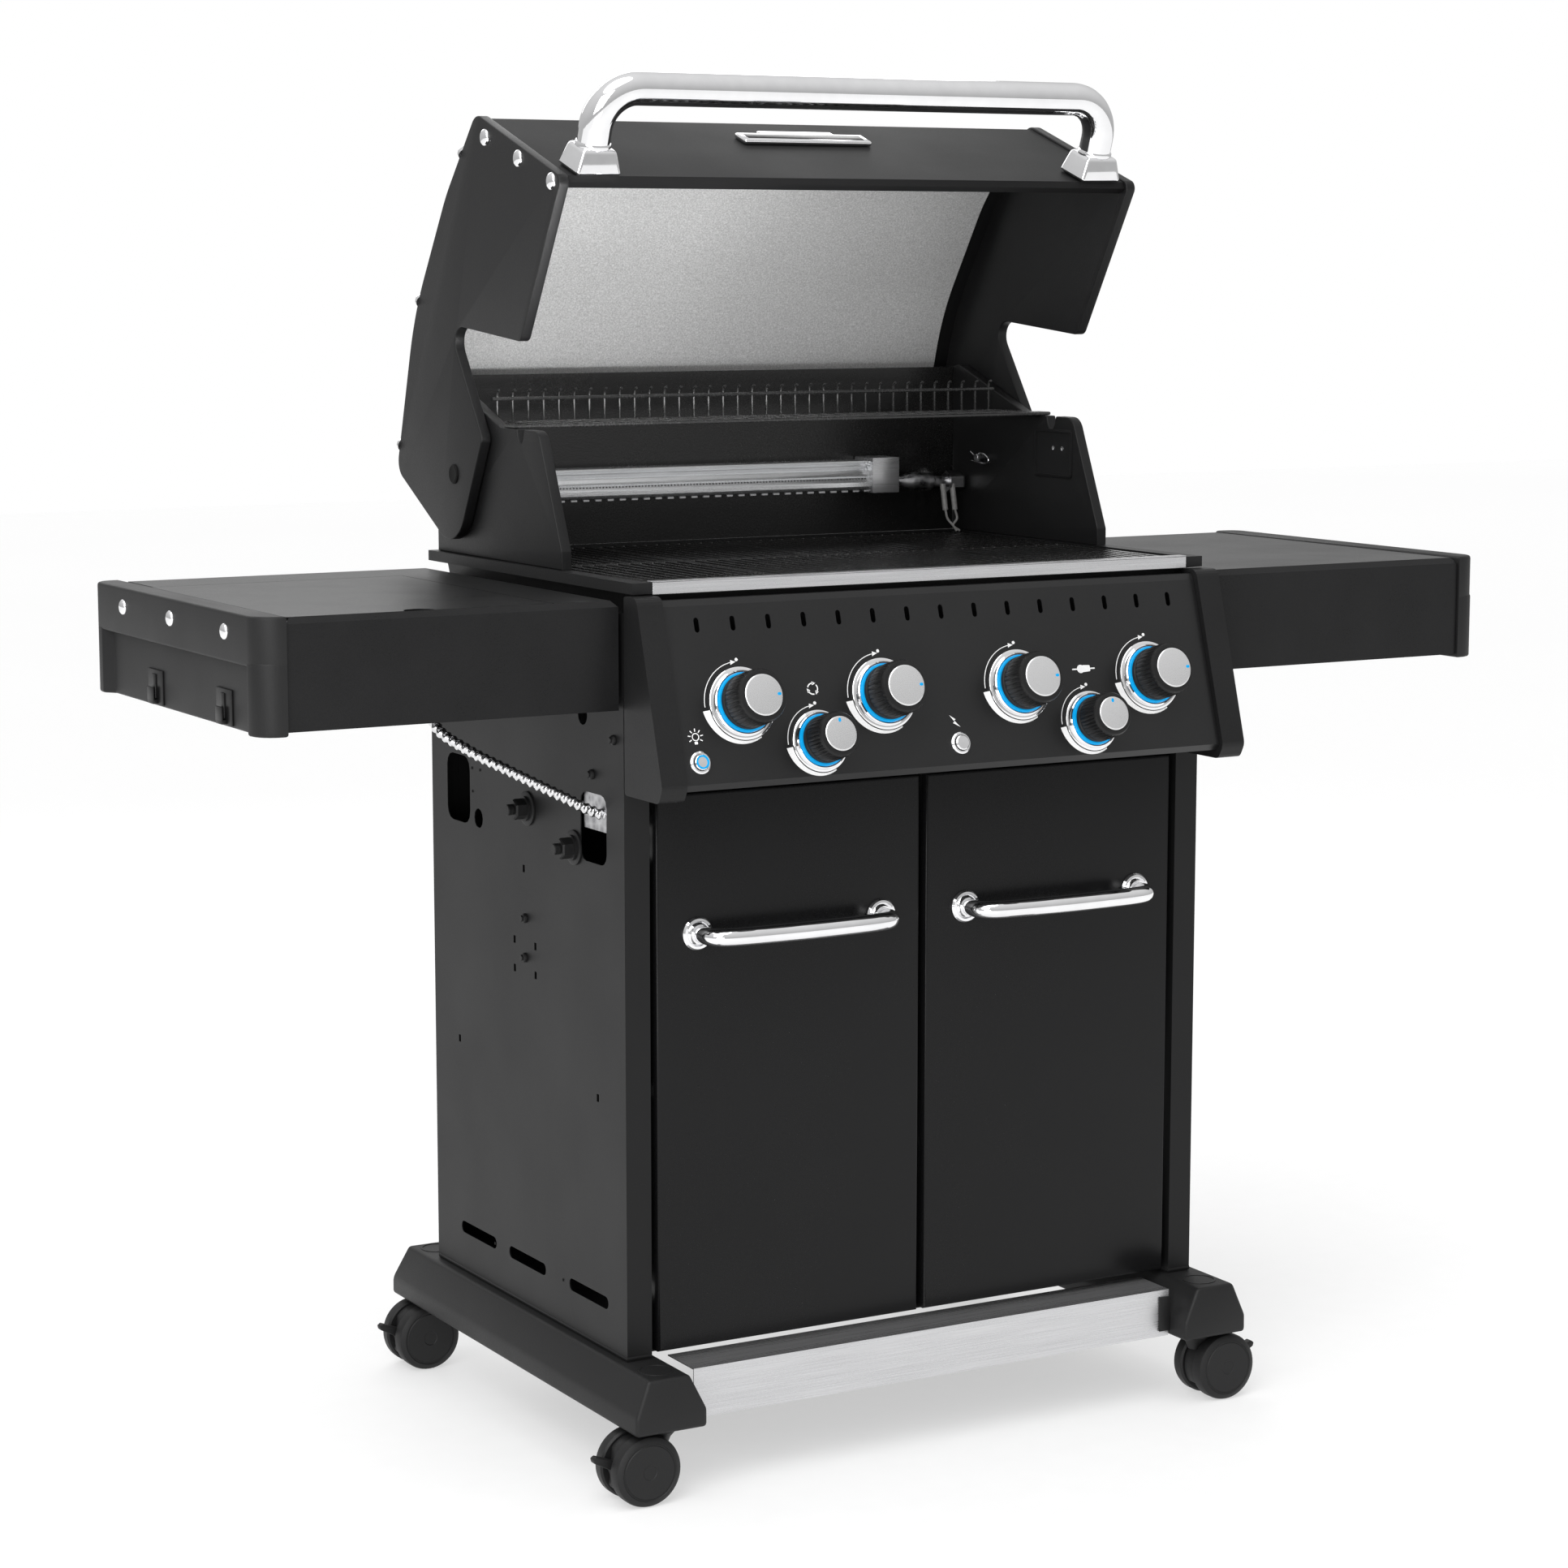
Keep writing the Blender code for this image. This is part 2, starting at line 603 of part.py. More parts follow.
def firebox():
    """Cast tub with a flanged rim, a ledge that carries the cooking grids, and a grease outlet."""
    bm = bmesh.new()
    add_rings(bm, [
        (-RIM_HALF, RIM_HALF, RIM_FRONT, RIM_BACK, RIM_TOP),
        (-RIM_HALF, RIM_HALF, RIM_FRONT, RIM_BACK, RIM_TOP - 0.011),
        (-0.3265, 0.3265, -0.2478, 0.2060, RIM_TOP - 0.013),
        (-0.3000, 0.3000, -0.2350, 0.1950, 0.610),
        (-0.1000, 0.1000, -0.1000, 0.1000, 0.560),
        (-0.0970, 0.0970, -0.0970, 0.0970, 0.560),
        (-0.2960, 0.2960, -0.2310, 0.1910, 0.614),
        (-0.3150, 0.3150, -0.2370, 0.1960, GRID_LEDGE),
        (-0.3225, 0.3225, -0.2437, 0.2028, GRID_LEDGE),
        (-0.3225, 0.3225, -0.2437, 0.2028, RIM_TOP),
    ], close=True)
    tub = solid("firebox", bm, CAST)
    holes = bmesh.new()
    for x in KNOB_X:
        add_rod(holes, (x, -0.27, 0.657), (x, -0.21, 0.657), 0.0150, 12)
    combine(tub, "DIFFERENCE", holes)
    rise = [(-0.0905, RIM_TOP + FIT, 0), (-0.0905, 0.8060, 0.004), (-0.0385, 0.9262, 0.018),
            (-0.0060, 0.9262, 0.002),
            (-0.0035, 0.9170, 0), (0.0000, 0.9120, 0), (0.0060, 0.9120, 0), (0.0095, 0.9170, 0),
            (0.0120, 0.9262, 0.002),
            (0.0520, 0.9262, 0.004), (0.1960, 0.9790, 0.004), (0.2115, 0.9765, 0),
            (0.2115, RIM_TOP + FIT, 0)]
    for side, word in ((-1, "left"), (1, "right")):
        low, high = sorted((side * PLATE_IN, side * PLATE_OUT))
        plate("firebox_side_" + word, [rounded(rise)], low, high, "X", CAST)
    box("firebox_rear_wall", (-PLATE_IN + FIT, 0.2085, RIM_TOP + FIT), (PLATE_IN - FIT, 0.2115, 0.9760),
        PAINT)
    bm = bmesh.new()
    width, deep, low, high = 0.0985, 0.0985, 0.5150, 0.560 - FIT
    add_rings(bm, [(-width - 0.001, width + 0.001, -deep - 0.001, deep + 0.001, high),
                   (-width + 0.008, width - 0.008, -deep + 0.008, deep - 0.008, low),
                   (-width + 0.009, width - 0.009, -deep + 0.009, deep - 0.009, low + 0.001),
                   (-width, width, -deep, deep, high)], close=False)
    solid("grease_tray", pan_open(bm, high), STEEL)


def cooking_grids():
    """Four cast grids side by side, bars running front to back with a cross bar at mid-depth."""
    clear = 0.0004
    for k in range(4):
        x0 = (k - 2) * GRID_WIDTH + clear
        x1 = x0 + GRID_WIDTH - 2 * clear
        outlines = [rectangle(x0, x1, GRID_FRONT, GRID_BACK, 0.005, 2)]
        bars = 11
        pitch = (x1 - x0 - 0.007) / bars
        for j in range(bars):
            a = x0 + 0.007 + j * pitch
            for v0, v1 in ((GRID_FRONT + 0.012, -0.026), (-0.015, GRID_BACK - 0.012)):
                outlines.append(rectangle(a, a + pitch - 0.0070, v0, v1))
        plate(f"cooking_grid_{k + 1}", outlines, GRID_LEDGE + FIT, GRID_TOP, "Z", IRON)


def burners():
    """Four tube burners joined by a cross-lighting channel, and the folded flame tamer above them."""
    base = bmesh.new()
    add_box(base, (-0.270, 0.1180, 0.6880), (0.270, 0.1340, 0.6980))
    frame = solid("main_burners", base, STEEL)
    tubes = bmesh.new()
    for x in KNOB_X:
        add_box(tubes, (x - 0.024, -0.2050, 0.6830), (x + 0.024, 0.1650, 0.7030))
    combine(frame, "UNION", tubes)
    throats = bmesh.new()
    for x in KNOB_X:
        add_rod(throats, (x, -0.1700, 0.6850), (x, -0.2200, 0.6580), 0.0125, 10)
        add_rod(throats, (x, -0.2120, 0.6570), (x, -0.2505, 0.6570), 0.0120, 10)
    combine(frame, "UNION", throats).modifiers[-1].name = "throats"
    bores = bmesh.new()
    for x in KNOB_X:
        add_box(bores, (x - 0.0222, -0.2032, 0.6848), (x + 0.0222, 0.1632, 0.7012))
        add_rod(bores, (x, -0.1660, 0.6872), (x, -0.2200, 0.6580), 0.0105, 10)
        add_rod(bores, (x, -0.2120, 0.6570), (x, -0.2600, 0.6570), 0.0100, 10)
    combine(frame, "DIFFERENCE", bores).modifiers[-1].use_self = True
    bends = [(-0.3065, 0.7200)]
    for k, x in enumerate(KNOB_X):
        bends.append((x, 0.7520))
        bends.append((x + 0.0813 if k < 3 else 0.3065, 0.7200))
    folded("flame_tamer", bends, -0.2250, 0.1850, "Y", 0.0015, STEEL, offset=-1.0)
    pipe = bmesh.new()
    add_rod(pipe, (-0.300, -0.2660, 0.6560), (0.300, -0.2660, 0.6560), 0.0085, 12)
    manifold = solid("gas_manifold", pipe, BRASS)
    valves = bmesh.new()
    for x in KNOB_X:
        add_rod(valves, on_panel(x, KNOB_DOWN, -0.0400), on_panel(x, KNOB_DOWN, -0.0070), 0.0105, 10)
    for x in SMALL_KNOB_X:
        add_rod(valves, on_panel(x, SMALL_KNOB_DOWN, -0.0420), on_panel(x, SMALL_KNOB_DOWN, -0.0070),
                0.0095, 10)
        add_rod(valves, on_panel(x, SMALL_KNOB_DOWN, -0.0360), (x, -0.2660, 0.6560), 0.0065, 8)
    combine(manifold, "UNION", valves)
    stems = bmesh.new()
    for x in KNOB_X:
        add_rod(stems, on_panel(x, KNOB_DOWN, -0.0110), on_panel(x, KNOB_DOWN, 0.0185), 0.0040, 8)
    for x in SMALL_KNOB_X:
        add_rod(stems, on_panel(x, SMALL_KNOB_DOWN, -0.0110), on_panel(x, SMALL_KNOB_DOWN, 0.0185), 0.0040,
                8)
    combine(manifold, "UNION", stems).modifiers[-1].name = "stems"


def rotisserie_burner():
    """Stainless trough across the rear wall, fed from its right end."""
    trough = [(0.2080, 0.8720), (0.1780, 0.8720), (0.1780, 0.8640), (0.1680, 0.8520), (0.1720, 0.8380),
              (0.2080, 0.8380),
              (0.2080, 0.8395), (0.1733, 0.8395), (0.1697, 0.8516), (0.1795, 0.8634), (0.1795, 0.8705),
              (0.2080, 0.8705)]
    made = plate("rotisserie_burner", [trough], -0.3200, 0.2220, "X", STEEL)
    ends = bmesh.new()
    add_box(ends, (-0.3200, 0.1760, 0.8390), (-0.3185, 0.2075, 0.8710))
    add_box(ends, (0.2205, 0.1760, 0.8390), (0.2220, 0.2075, 0.8710))
    combine(made, "UNION", ends).modifiers[-1].name = "ends"
    feed = bmesh.new()
    add_rod(feed, (0.2100, 0.1900, 0.8550), (0.2600, 0.1900, 0.8460), 0.0060, 10)
    add_rod(feed, (0.2560, 0.1900, 0.8460), (PLATE_IN - 0.001, 0.1900, 0.8460), 0.0110, 12)
    combine(made, "UNION", feed).modifiers[-1].name = "feed"


def warming_rack():
    """Slotted shelf lying on the side plates, with a fence of uprights along its back."""
    half, front, back = 0.3215, 0.0200, 0.1150
    rim = [(-half, front), (-0.3335, front), (-0.3335, 0.0440), (-half, 0.0440), (-half, back),
           (half, back),
           (half, 0.0440), (0.3335, 0.0440), (0.3335, front), (half, front)]
    slots = []
    count = 18
    pitch = 2 * (half - 0.006) / count
    for k in range(count):
        a = -half + 0.006 + k * pitch
        slots.append(rectangle(a + 0.003, a + pitch - 0.003, front + 0.012, back - 0.012))
    low = 0.9262 + FIT
    rack = plate("warming_rack", [rim, *slots], low, low + 0.004, "Z", IRON)
    fence = bmesh.new()
    add_box(fence, (-half + 0.004, back - 0.0055, 0.9600), (half - 0.004, back - 0.0015, 0.9640))
    combine(rack, "UNION", fence_posts(fence, half, back, low))


def fence_posts(bm, half, back, low):
    for k in range(19):
        x = -half + 0.008 + k * (half - 0.008) / 9
        add_box(bm, (x - 0.0016, back - 0.0050, low + 0.0015), (x + 0.0016, back - 0.0020, 0.9615))
    return bm


# ---- side tables ---------------------------------------------------------------------------------


def side_table(side, name):
    """Inverted steel pan with rounded edges; the left one is open for the side burner."""
    x0, x1 = sorted((side * TABLE_IN, side * (TABLE_OUT - FIT)))
    y0, y1, z0, z1 = TABLE_FRONT, TABLE_BACK, TABLE_LOW, TABLE_TOP
    skin = 0.0020
    bm = bmesh.new()
    soft = 0.006
    add_rings(bm, [(x0 + soft, x1 - soft, y0 + soft, y1 - soft, z1), (x0, x1, y0, y1, z1 - soft),
                   (x0, x1, y0, y1, z0),
                   (x0 + skin, x1 - skin, y0 + skin, y1 - skin, z0),
                   (x0 + skin, x1 - skin, y0 + skin, y1 - skin, z1 - soft - 0.001),
                   (x0 + soft, x1 - soft, y0 + soft, y1 - soft, z1 - skin)], close=False)
    table = solid(name, bm, GREY)
    if side < 0:
        well = bmesh.new()
        add_box(well, (BURNER_LID_X[0] - 0.0010, BURNER_LID_Y[0] - 0.0010, 0.7500),
                (BURNER_LID_X[1] + 0.0010, BURNER_LID_Y[1] + 0.0010, 0.7800))
        combine(table, "DIFFERENCE", well)


def table_end_cap(side, name):
    """Moulded cap closing the table's outer end; the left one carries two tool hooks."""
    x0, x1 = sorted((side * TABLE_OUT, side * TABLE_END))
    outline = rectangle(TABLE_FRONT - 0.003, TABLE_BACK + 0.003, TABLE_LOW - 0.004, TABLE_TOP + 0.0015,
                        0.010)
    cap = plate(name, [outline], x0, x1, "X", PLASTIC)
    recess = bmesh.new()
    hollow = sorted((side * (TABLE_OUT - 0.002), side * (TABLE_OUT + 0.0145)))
    add_box(recess, (hollow[0], TABLE_FRONT + 0.006, TABLE_LOW + 0.005),
            (hollow[1], TABLE_BACK - 0.006, 0.7630))
    face = side * (TABLE_END - 0.010)
    r0, r1 = sorted((face, side * (TABLE_END + 0.01)))
    add_box(recess, (r0, -0.2180, TABLE_LOW - 0.02), (r1, 0.1660, 0.7260))
    combine(cap, "DIFFERENCE", recess)
    if side < 0:
        hooks = bmesh.new()
        for y in (0.040, -0.148):
            add_box(hooks, (face - 0.0020, y - 0.020, 0.6620), (face + 0.0020, y + 0.020, 0.6960))
            add_box(hooks, (face - 0.0090, y - 0.012, 0.6600), (face - 0.0015, y + 0.012, 0.6640))
            add_box(hooks, (face - 0.0090, y - 0.010, 0.6630), (face - 0.0065, y + 0.010, 0.6760))
        combine(cap, "UNION", hooks).modifiers[-1].name = "hooks"


def side_burner():
    """Drip bowl and burner head under the hinged lid of the left table, with its grate and gas line."""
    bm = bmesh.new()
    x0, x1 = BURNER_X - 0.110, BURNER_X + 0.110
    y0, y1 = BURNER_Y - 0.130, BURNER_Y + 0.130
    thick = 0.0015
    add_rings(bm, [(x0, x1, y0, y1, 0.7490), (x0, x1, y0, y1, 0.7150),
                   (x0 + 0.03, x1 - 0.03, y0 + 0.03, y1 - 0.03, 0.7000),
                   (x0 + 0.031, x1 - 0.031, y0 + 0.031, y1 - 0.031, 0.7000 + thick),
                   (x0 + thick, x1 - thick, y0 + thick, y1 - thick, 0.7155),
                   (x0 + thick, x1 - thick, y0 + thick, y1 - thick, 0.7490)], close=False)
    bowl = solid("side_burner", pan_open(bm, 0.7490), STEEL)
    head = bmesh.new()
    add_rod(head, (BURNER_X, BURNER_Y, 0.6900), (BURNER_X, BURNER_Y, 0.7280), 0.0400, 16)
    combine(bowl, "UNION", head)
    throat = bmesh.new()
    add_rod(throat, (BURNER_X + 0.020, BURNER_Y, 0.6960), (BURNER_X + 0.092, BURNER_Y, 0.6960), 0.0100, 10)
    combine(bowl, "UNION", throat).modifiers[-1].name = "throat"
    outlines = [rectangle(x0 + 0.003, x1 - 0.003, y0 + 0.003, y1 - 0.003, 0.01)]
    inner = 0.094
    for u0, u1 in ((-inner, -0.004), (0.004, inner)):
        for v0, v1 in ((-0.114, -0.064), (-0.056, -0.004), (0.004, 0.056), (0.064, 0.114)):
            outlines.append(rectangle(BURNER_X + u0, BURNER_X + u1, BURNER_Y + v0, BURNER_Y + v1))
    grate = plate("side_burner_grate", outlines, 0.7420, 0.7490, "Z", IRON)
    grate.parent = ROOT
    x0, x1 = BURNER_LID_X
    y0, y1 = BURNER_LID_Y
    hinge = empty("side_burner_lid_hinge", (0.0, y1 + 0.004, TABLE_TOP + 0.0025), ROOT)
    off_y, off_z = hinge.location.y, hinge.location.z
    bm = bmesh.new()
    sheet = 0.0015
    rings = [(x0, x1, y0, y1, TABLE_TOP), (x0, x1, y0, y1, TABLE_TOP - 0.013),
             (x0 + sheet, x1 - sheet, y0 + sheet, y1 - sheet, TABLE_TOP - 0.013),
             (x0 + sheet, x1 - sheet, y0 + sheet, y1 - sheet, TABLE_TOP - sheet)]
    add_rings(bm, [(a, b, c - off_y, d - off_y, e - off_z) for a, b, c, d, e in rings], close=False)
    lid = solid("side_burner_lid", bm, GREY, hinge)
    notch = bmesh.new()
    add_rod(notch, (-0.5605, y0 - off_y, -0.02), (-0.5605, y0 - off_y, 0.01), 0.016, 14)
    combine(lid, "DIFFERENCE", notch)


def pan_open(bm, level):
    """Removes the two coplanar caps of a pan and closes its rim with a ring of faces instead."""
    caps = [f for f in bm.faces if all(abs(v.co.z - level) < 1e-6 for v in f.verts)]
    loops = [list(f.verts) for f in caps]
    bmesh.ops.delete(bm, geom=caps, context="FACES_ONLY")
    outer, inner = sorted(loops, key=lambda loop: -sum(v.co.length for v in loop))
    by_angle = []
    for loop in (outer, inner):
        centre = sum((v.co for v in loop), Vector()) / 4
        by_angle.append(sorted(loop, key=lambda v: math.atan2(v.co.y - centre.y, v.co.x - centre.x)))
    for i in range(4):
        j = (i + 1) % 4
        bm.faces.new((by_angle[0][i], by_angle[0][j], by_angle[1][j], by_angle[1][i]))
    return bm


GAS_ROUTE = [(-0.3080, -0.2620, 0.6450), (-0.3080, -0.2380, 0.6130), (-0.3110, -0.2190, 0.5800),
             (-0.3230, -0.2060, 0.5560), (-0.3440, -0.1970, 0.5510), (-0.3780, -0.1760, 0.5690),
             (-0.4220, -0.1500, 0.5940), (-0.4550, -0.1250, 0.6140), (-0.4780, -0.0980, 0.6350),
             (-0.4720, -0.0740, 0.6570), (-0.4580, -0.0630, 0.6720), (-0.4560, -0.0620, 0.6840)]


def gas_line():
    """Corrugated feed from the manifold, out through the side panel and up to the side burner's throat."""
    route = through(GAS_ROUTE, 3)
    smooth(put("gas_line", tube_mesh("gas_line", route, 0.0060, 2), STEEL, ROOT))


# ---- lid -----------------------------------------------------------------------------------------

LID_CORNERS = [(-0.2570, 0.7935, 0.009), (-0.0660, 0.7990, 0.010), (0.0058, 0.9608, 0.0165),
               (0.0694, 0.8322, 0.010),
               (0.2145, 0.8310, 0.045), (0.2145, 1.0050, 0.020), (0.0400, 1.0420, 0.300),
               (-0.1100, 1.0280, 0.200),
               (*LID_BROW, 0.018)]


def lid_place(y, z):
    return (y - PIVOT_Y, z - PIVOT_Z)


def offset_line(points, distance):
    """A line moved sideways, to the left of its direction, by a distance."""
    moved = []
    for i, here in enumerate(points):
        ahead = points[min(i + 1, len(points) - 1)] - points[max(i - 1, 0)]
        normal = Vector((-ahead.y, ahead.x)).normalized()
        moved.append(here + normal * distance)
    return moved


def trimmed(points, length):
    """The line with its first and last points moved inwards along it."""
    first = points[0] + (points[1] - points[0]).normalized() * length
    last = points[-1] + (points[-2] - points[-1]).normalized() * length
    return [first, *points[1:-1], last]


def lid():
    """Double-walled hood between two cast ends, on a pivot in each firebox side plate."""
    hinge = empty("lid_hinge", (0.0, PIVOT_Y, PIVOT_Z), ROOT, (math.radians(-LID_OPEN), 0.0, 0.0))
    outline = rounded([(*lid_place(y, z), r) for y, z, r in LID_CORNERS], 5)
    for side, word in ((-1, "left"), (1, "right")):
        low, high = sorted((side * LID_IN, side * LID_OUT))
        plate("lid_end_" + word, [outline], low, high, "X", CAST, hinge)
    skin = [(-0.2510, 0.7960, 0), (*LID_LIP, 0), (*LID_BROW, 0.018), (-0.1100, 1.0280, 0.200),
            (0.0400, 1.0420, 0.300), (0.2050, 1.0070, 0)]
    line = rounded([(*lid_place(y, z), r) for y, z, r in skin], 5)
    outer = offset_line(line, -LID_SHELL_SET_IN)
    inner = offset_line(line, -LID_SHELL_SET_IN - LID_WALL)
    wrap = outer + inner[::-1]
    space = trimmed(offset_line(line, -LID_SHELL_SET_IN - SHEET), SHEET)
    space += trimmed(offset_line(line, -LID_SHELL_SET_IN - LID_WALL + SHEET), SHEET)[::-1]
    plate("lid_shell", [wrap, space], -LID_IN + FIT, LID_IN - FIT, "X", PAINT, hinge)
    lid_handle(hinge)


def lid_handle(hinge):
    """Chromed tube on two cast feet, standing off the front of the hood."""
    lip, brow = Vector(lid_place(*LID_LIP)), Vector(lid_place(*LID_BROW))
    up = (brow - lip).normalized()
    out = Vector((-up.y, up.x))
    foot = lip + up * 0.0175 + out * (FIT - LID_SHELL_SET_IN)
    reach = TUBE_STAND_OFF
    bend = 0.042
    side_route = []
    for k in range(7):
        turn = math.pi / 2 * k / 6
        along = reach - bend + bend * math.sin(turn)
        side_route.append((LEG_X - bend + bend * math.cos(turn), foot + out * along))
    half = [(LEG_X, foot + out * 0.004), *side_route]
    points = [(-x, *p) for x, p in half] + [(x, *p) for x, p in reversed(half)]
    tube = put("lid_handle", tube_mesh("lid_handle", points, TUBE_RADIUS, 3), CHROME, hinge)
    smooth(tube)
    feet = bmesh.new()
    turn = Matrix.Rotation(math.atan2(out.y, out.x) - math.pi, 4, "X")
    for side in (-1, 1):
        verts = add_box(feet, (-0.0235, -0.0230, -0.0200), (0.0235, 0.0, 0.0200))
        narrow = [v for v in verts if v.co.y < -0.01]
        bmesh.ops.scale(feet, verts=narrow, vec=(0.80, 1.0, 0.84))
        seat = Matrix.Translation((side * LEG_X, foot.x, foot.y)) @ turn
        bmesh.ops.transform(feet, matrix=seat, verts=verts)
    combine(tube, "UNION", feet)
    bore = bmesh.new()
    below = foot - out * 0.004
    points[0], points[-1] = (-LEG_X, *below), (LEG_X, *below)
    bore.from_mesh(tube_mesh("bore", points, TUBE_RADIUS - 0.0020, 3))
    combine(tube, "DIFFERENCE", bore)


stand()
cabinet()
control_panel()
knobs_and_buttons()
firebox()
cooking_grids()
burners()
rotisserie_burner()
warming_rack()
side_table(-1, "side_table_left")
side_table(1, "side_table_right")
table_end_cap(-1, "table_end_cap_left")
table_end_cap(1, "table_end_cap_right")
side_burner()
gas_line()
lid()
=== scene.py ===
"""Looks of the gas barbecue grill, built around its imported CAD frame.

Metres. Positions are from the cabinet's datum: its middle across, its hinge line in depth, its floor in height.
"""

import math

import bmesh
import bpy
from mathutils import Matrix, Vector


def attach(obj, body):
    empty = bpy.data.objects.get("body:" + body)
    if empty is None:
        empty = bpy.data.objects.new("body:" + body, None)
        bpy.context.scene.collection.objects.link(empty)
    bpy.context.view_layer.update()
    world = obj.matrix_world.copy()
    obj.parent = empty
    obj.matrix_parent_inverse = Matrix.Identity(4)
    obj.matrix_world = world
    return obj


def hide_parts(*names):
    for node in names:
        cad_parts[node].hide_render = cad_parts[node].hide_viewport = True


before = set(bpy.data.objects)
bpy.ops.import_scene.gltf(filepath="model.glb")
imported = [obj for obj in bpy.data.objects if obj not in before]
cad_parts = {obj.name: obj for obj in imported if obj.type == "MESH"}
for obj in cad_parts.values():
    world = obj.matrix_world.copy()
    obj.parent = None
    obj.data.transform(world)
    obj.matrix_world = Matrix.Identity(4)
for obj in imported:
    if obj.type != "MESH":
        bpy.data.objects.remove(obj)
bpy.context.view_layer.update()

DATUM = Vector((0.0, 0.0390, 0.132))
BODY = "grill_body"
AT_DATUM = Matrix.Translation(DATUM)
PANEL_TOP, PANEL_FOOT = Vector((-0.276, 0.764)), Vector((-0.327, 0.594))
PIVOT = Vector((0.1388, 0.8739))
LID_OPEN = math.radians(61.0)
AT_LID = Matrix.Translation(DATUM + Vector((0, *PIVOT))) @ Matrix.Rotation(-LID_OPEN, 4, "X")
LID_LIP, LID_BROW = Vector((-0.2560, 0.8040)), Vector((-0.2205, 1.0015))
KNOB_X = (-0.2439, -0.0813, 0.0813, 0.2439)
SMALL_KNOB_X = (-0.1625, 0.1625)
SIDES = ((-1, "left"), (1, "right"))
PANEL_FACE = 0.3473  # the cabinet's outer sides, from the middle
HOOD_END_FACE = 0.3481
WALL_FACE = 0.3229  # the cooking chamber's inner sides
COLOUR_A, COLOUR_B, COLOUR_RESULT = 6, 7, 2  # a mix node's colour sockets


# ---- materials ------------------------------------------------------------------------------------


def node(tree, kind, inputs=None, **settings):
    made = tree.nodes.new(kind)
    for key, value in settings.items():
        setattr(made, key, value)
    for key, value in (inputs or {}).items():
        if isinstance(value, bpy.types.NodeSocket):
            tree.links.new(value, made.inputs[key])
        else:
            made.inputs[key].default_value = value
    return made


def surface(name, dark, light, rough, metallic=0.0, grain=400.0, bump=0.1, depth=0.0004, stretch=(1, 1, 1),
            blotch=9.0, specular=0.5, coat=0.0, emission=None, kind="noise"):
    """A material whose colour drifts between two tones, with grain in its roughness and its bump."""
    made = bpy.data.materials.new(name)
    made.use_nodes = True
    tree = made.node_tree
    shader = tree.nodes["Principled BSDF"]
    shader.inputs["Metallic"].default_value = metallic
    shader.inputs["Specular IOR Level"].default_value = specular
    shader.inputs["Coat Weight"].default_value = coat
    shader.inputs["Coat Roughness"].default_value = 0.12
    where = node(tree, "ShaderNodeTexCoord").outputs["Object"]
    where = node(tree, "ShaderNodeMapping", {"Vector": where, "Scale": stretch}).outputs["Vector"]
    drift = node(tree, "ShaderNodeTexNoise", {"Vector": where, "Scale": blotch, "Detail": 3.0}).outputs["Fac"]
    if kind == "cells":
        fine = node(tree, "ShaderNodeTexVoronoi", {"Vector": where, "Scale": grain}).outputs["Distance"]
    else:
        fine = node(tree, "ShaderNodeTexNoise", {"Vector": where, "Scale": grain, "Detail": 2.0}).outputs["Fac"]
    both = node(tree, "ShaderNodeMath", {0: drift, 1: fine}, operation="ADD").outputs[0]
    tone = node(tree, "ShaderNodeMapRange", {"Value": both, "From Min": 0.7, "From Max": 1.3}).outputs["Result"]
    colour = node(tree, "ShaderNodeMix", {"Factor": tone}, data_type="RGBA")
    colour.inputs[COLOUR_A].default_value = (*dark, 1)
    colour.inputs[COLOUR_B].default_value = (*light, 1)
    tree.links.new(colour.outputs[COLOUR_RESULT], shader.inputs["Base Color"])
    spread = node(tree, "ShaderNodeMapRange", {"Value": both, "From Min": 0.7, "From Max": 1.3,
                                               "To Min": rough[0], "To Max": rough[1]})
    tree.links.new(spread.outputs["Result"], shader.inputs["Roughness"])
    relief = node(tree, "ShaderNodeBump", {"Height": fine, "Strength": bump, "Distance": depth})
    tree.links.new(relief.outputs["Normal"], shader.inputs["Normal"])
    if emission:
        shader.inputs["Emission Color"].default_value = (*emission[0], 1)
        shader.inputs["Emission Strength"].default_value = emission[1]
    return made


PAINT = surface("powder_paint", (0.0062, 0.0062, 0.0064), (0.0082, 0.0082, 0.0085), (0.42, 0.50), grain=900,
                bump=0.07, specular=0.24)
GLOSS = surface("smooth_paint", (0.0052, 0.0052, 0.0055), (0.0064, 0.0064, 0.0067), (0.22, 0.27), grain=260,
                bump=0.02, specular=0.20)
CAST = surface("cast_paint", (0.0066, 0.0066, 0.0069), (0.0098, 0.0098, 0.0101), (0.42, 0.54), grain=650,
               bump=0.22, specular=0.28)
PLASTIC = surface("grained_plastic", (0.0085, 0.0085, 0.0088), (0.0120, 0.0120, 0.0123), (0.46, 0.58),
                  grain=800,
                  bump=0.22, specular=0.30)
TABLE = surface("table_paint", (0.0070, 0.0070, 0.0073), (0.0125, 0.0125, 0.0130), (0.27, 0.37), grain=1300,
                bump=0.30, depth=0.0003, specular=0.21)
PANEL = surface("panel_paint", (0.0070, 0.0070, 0.0073), (0.0095, 0.0095, 0.0098), (0.30, 0.38), grain=500,
                bump=0.04, specular=0.45)
HOOD = surface("hood_paint", (0.0060, 0.0060, 0.0062), (0.0085, 0.0085, 0.0088), (0.52, 0.60), grain=800,
               bump=0.10, specular=0.16)
IRON = surface("enamelled_iron", (0.0045, 0.0045, 0.0045), (0.0085, 0.0083, 0.0080), (0.20, 0.30), grain=500,
               bump=0.25, specular=0.45)
WIRE = surface("rack_wire", (0.020, 0.020, 0.020), (0.035, 0.035, 0.035), (0.22, 0.30), grain=500, bump=0.10)
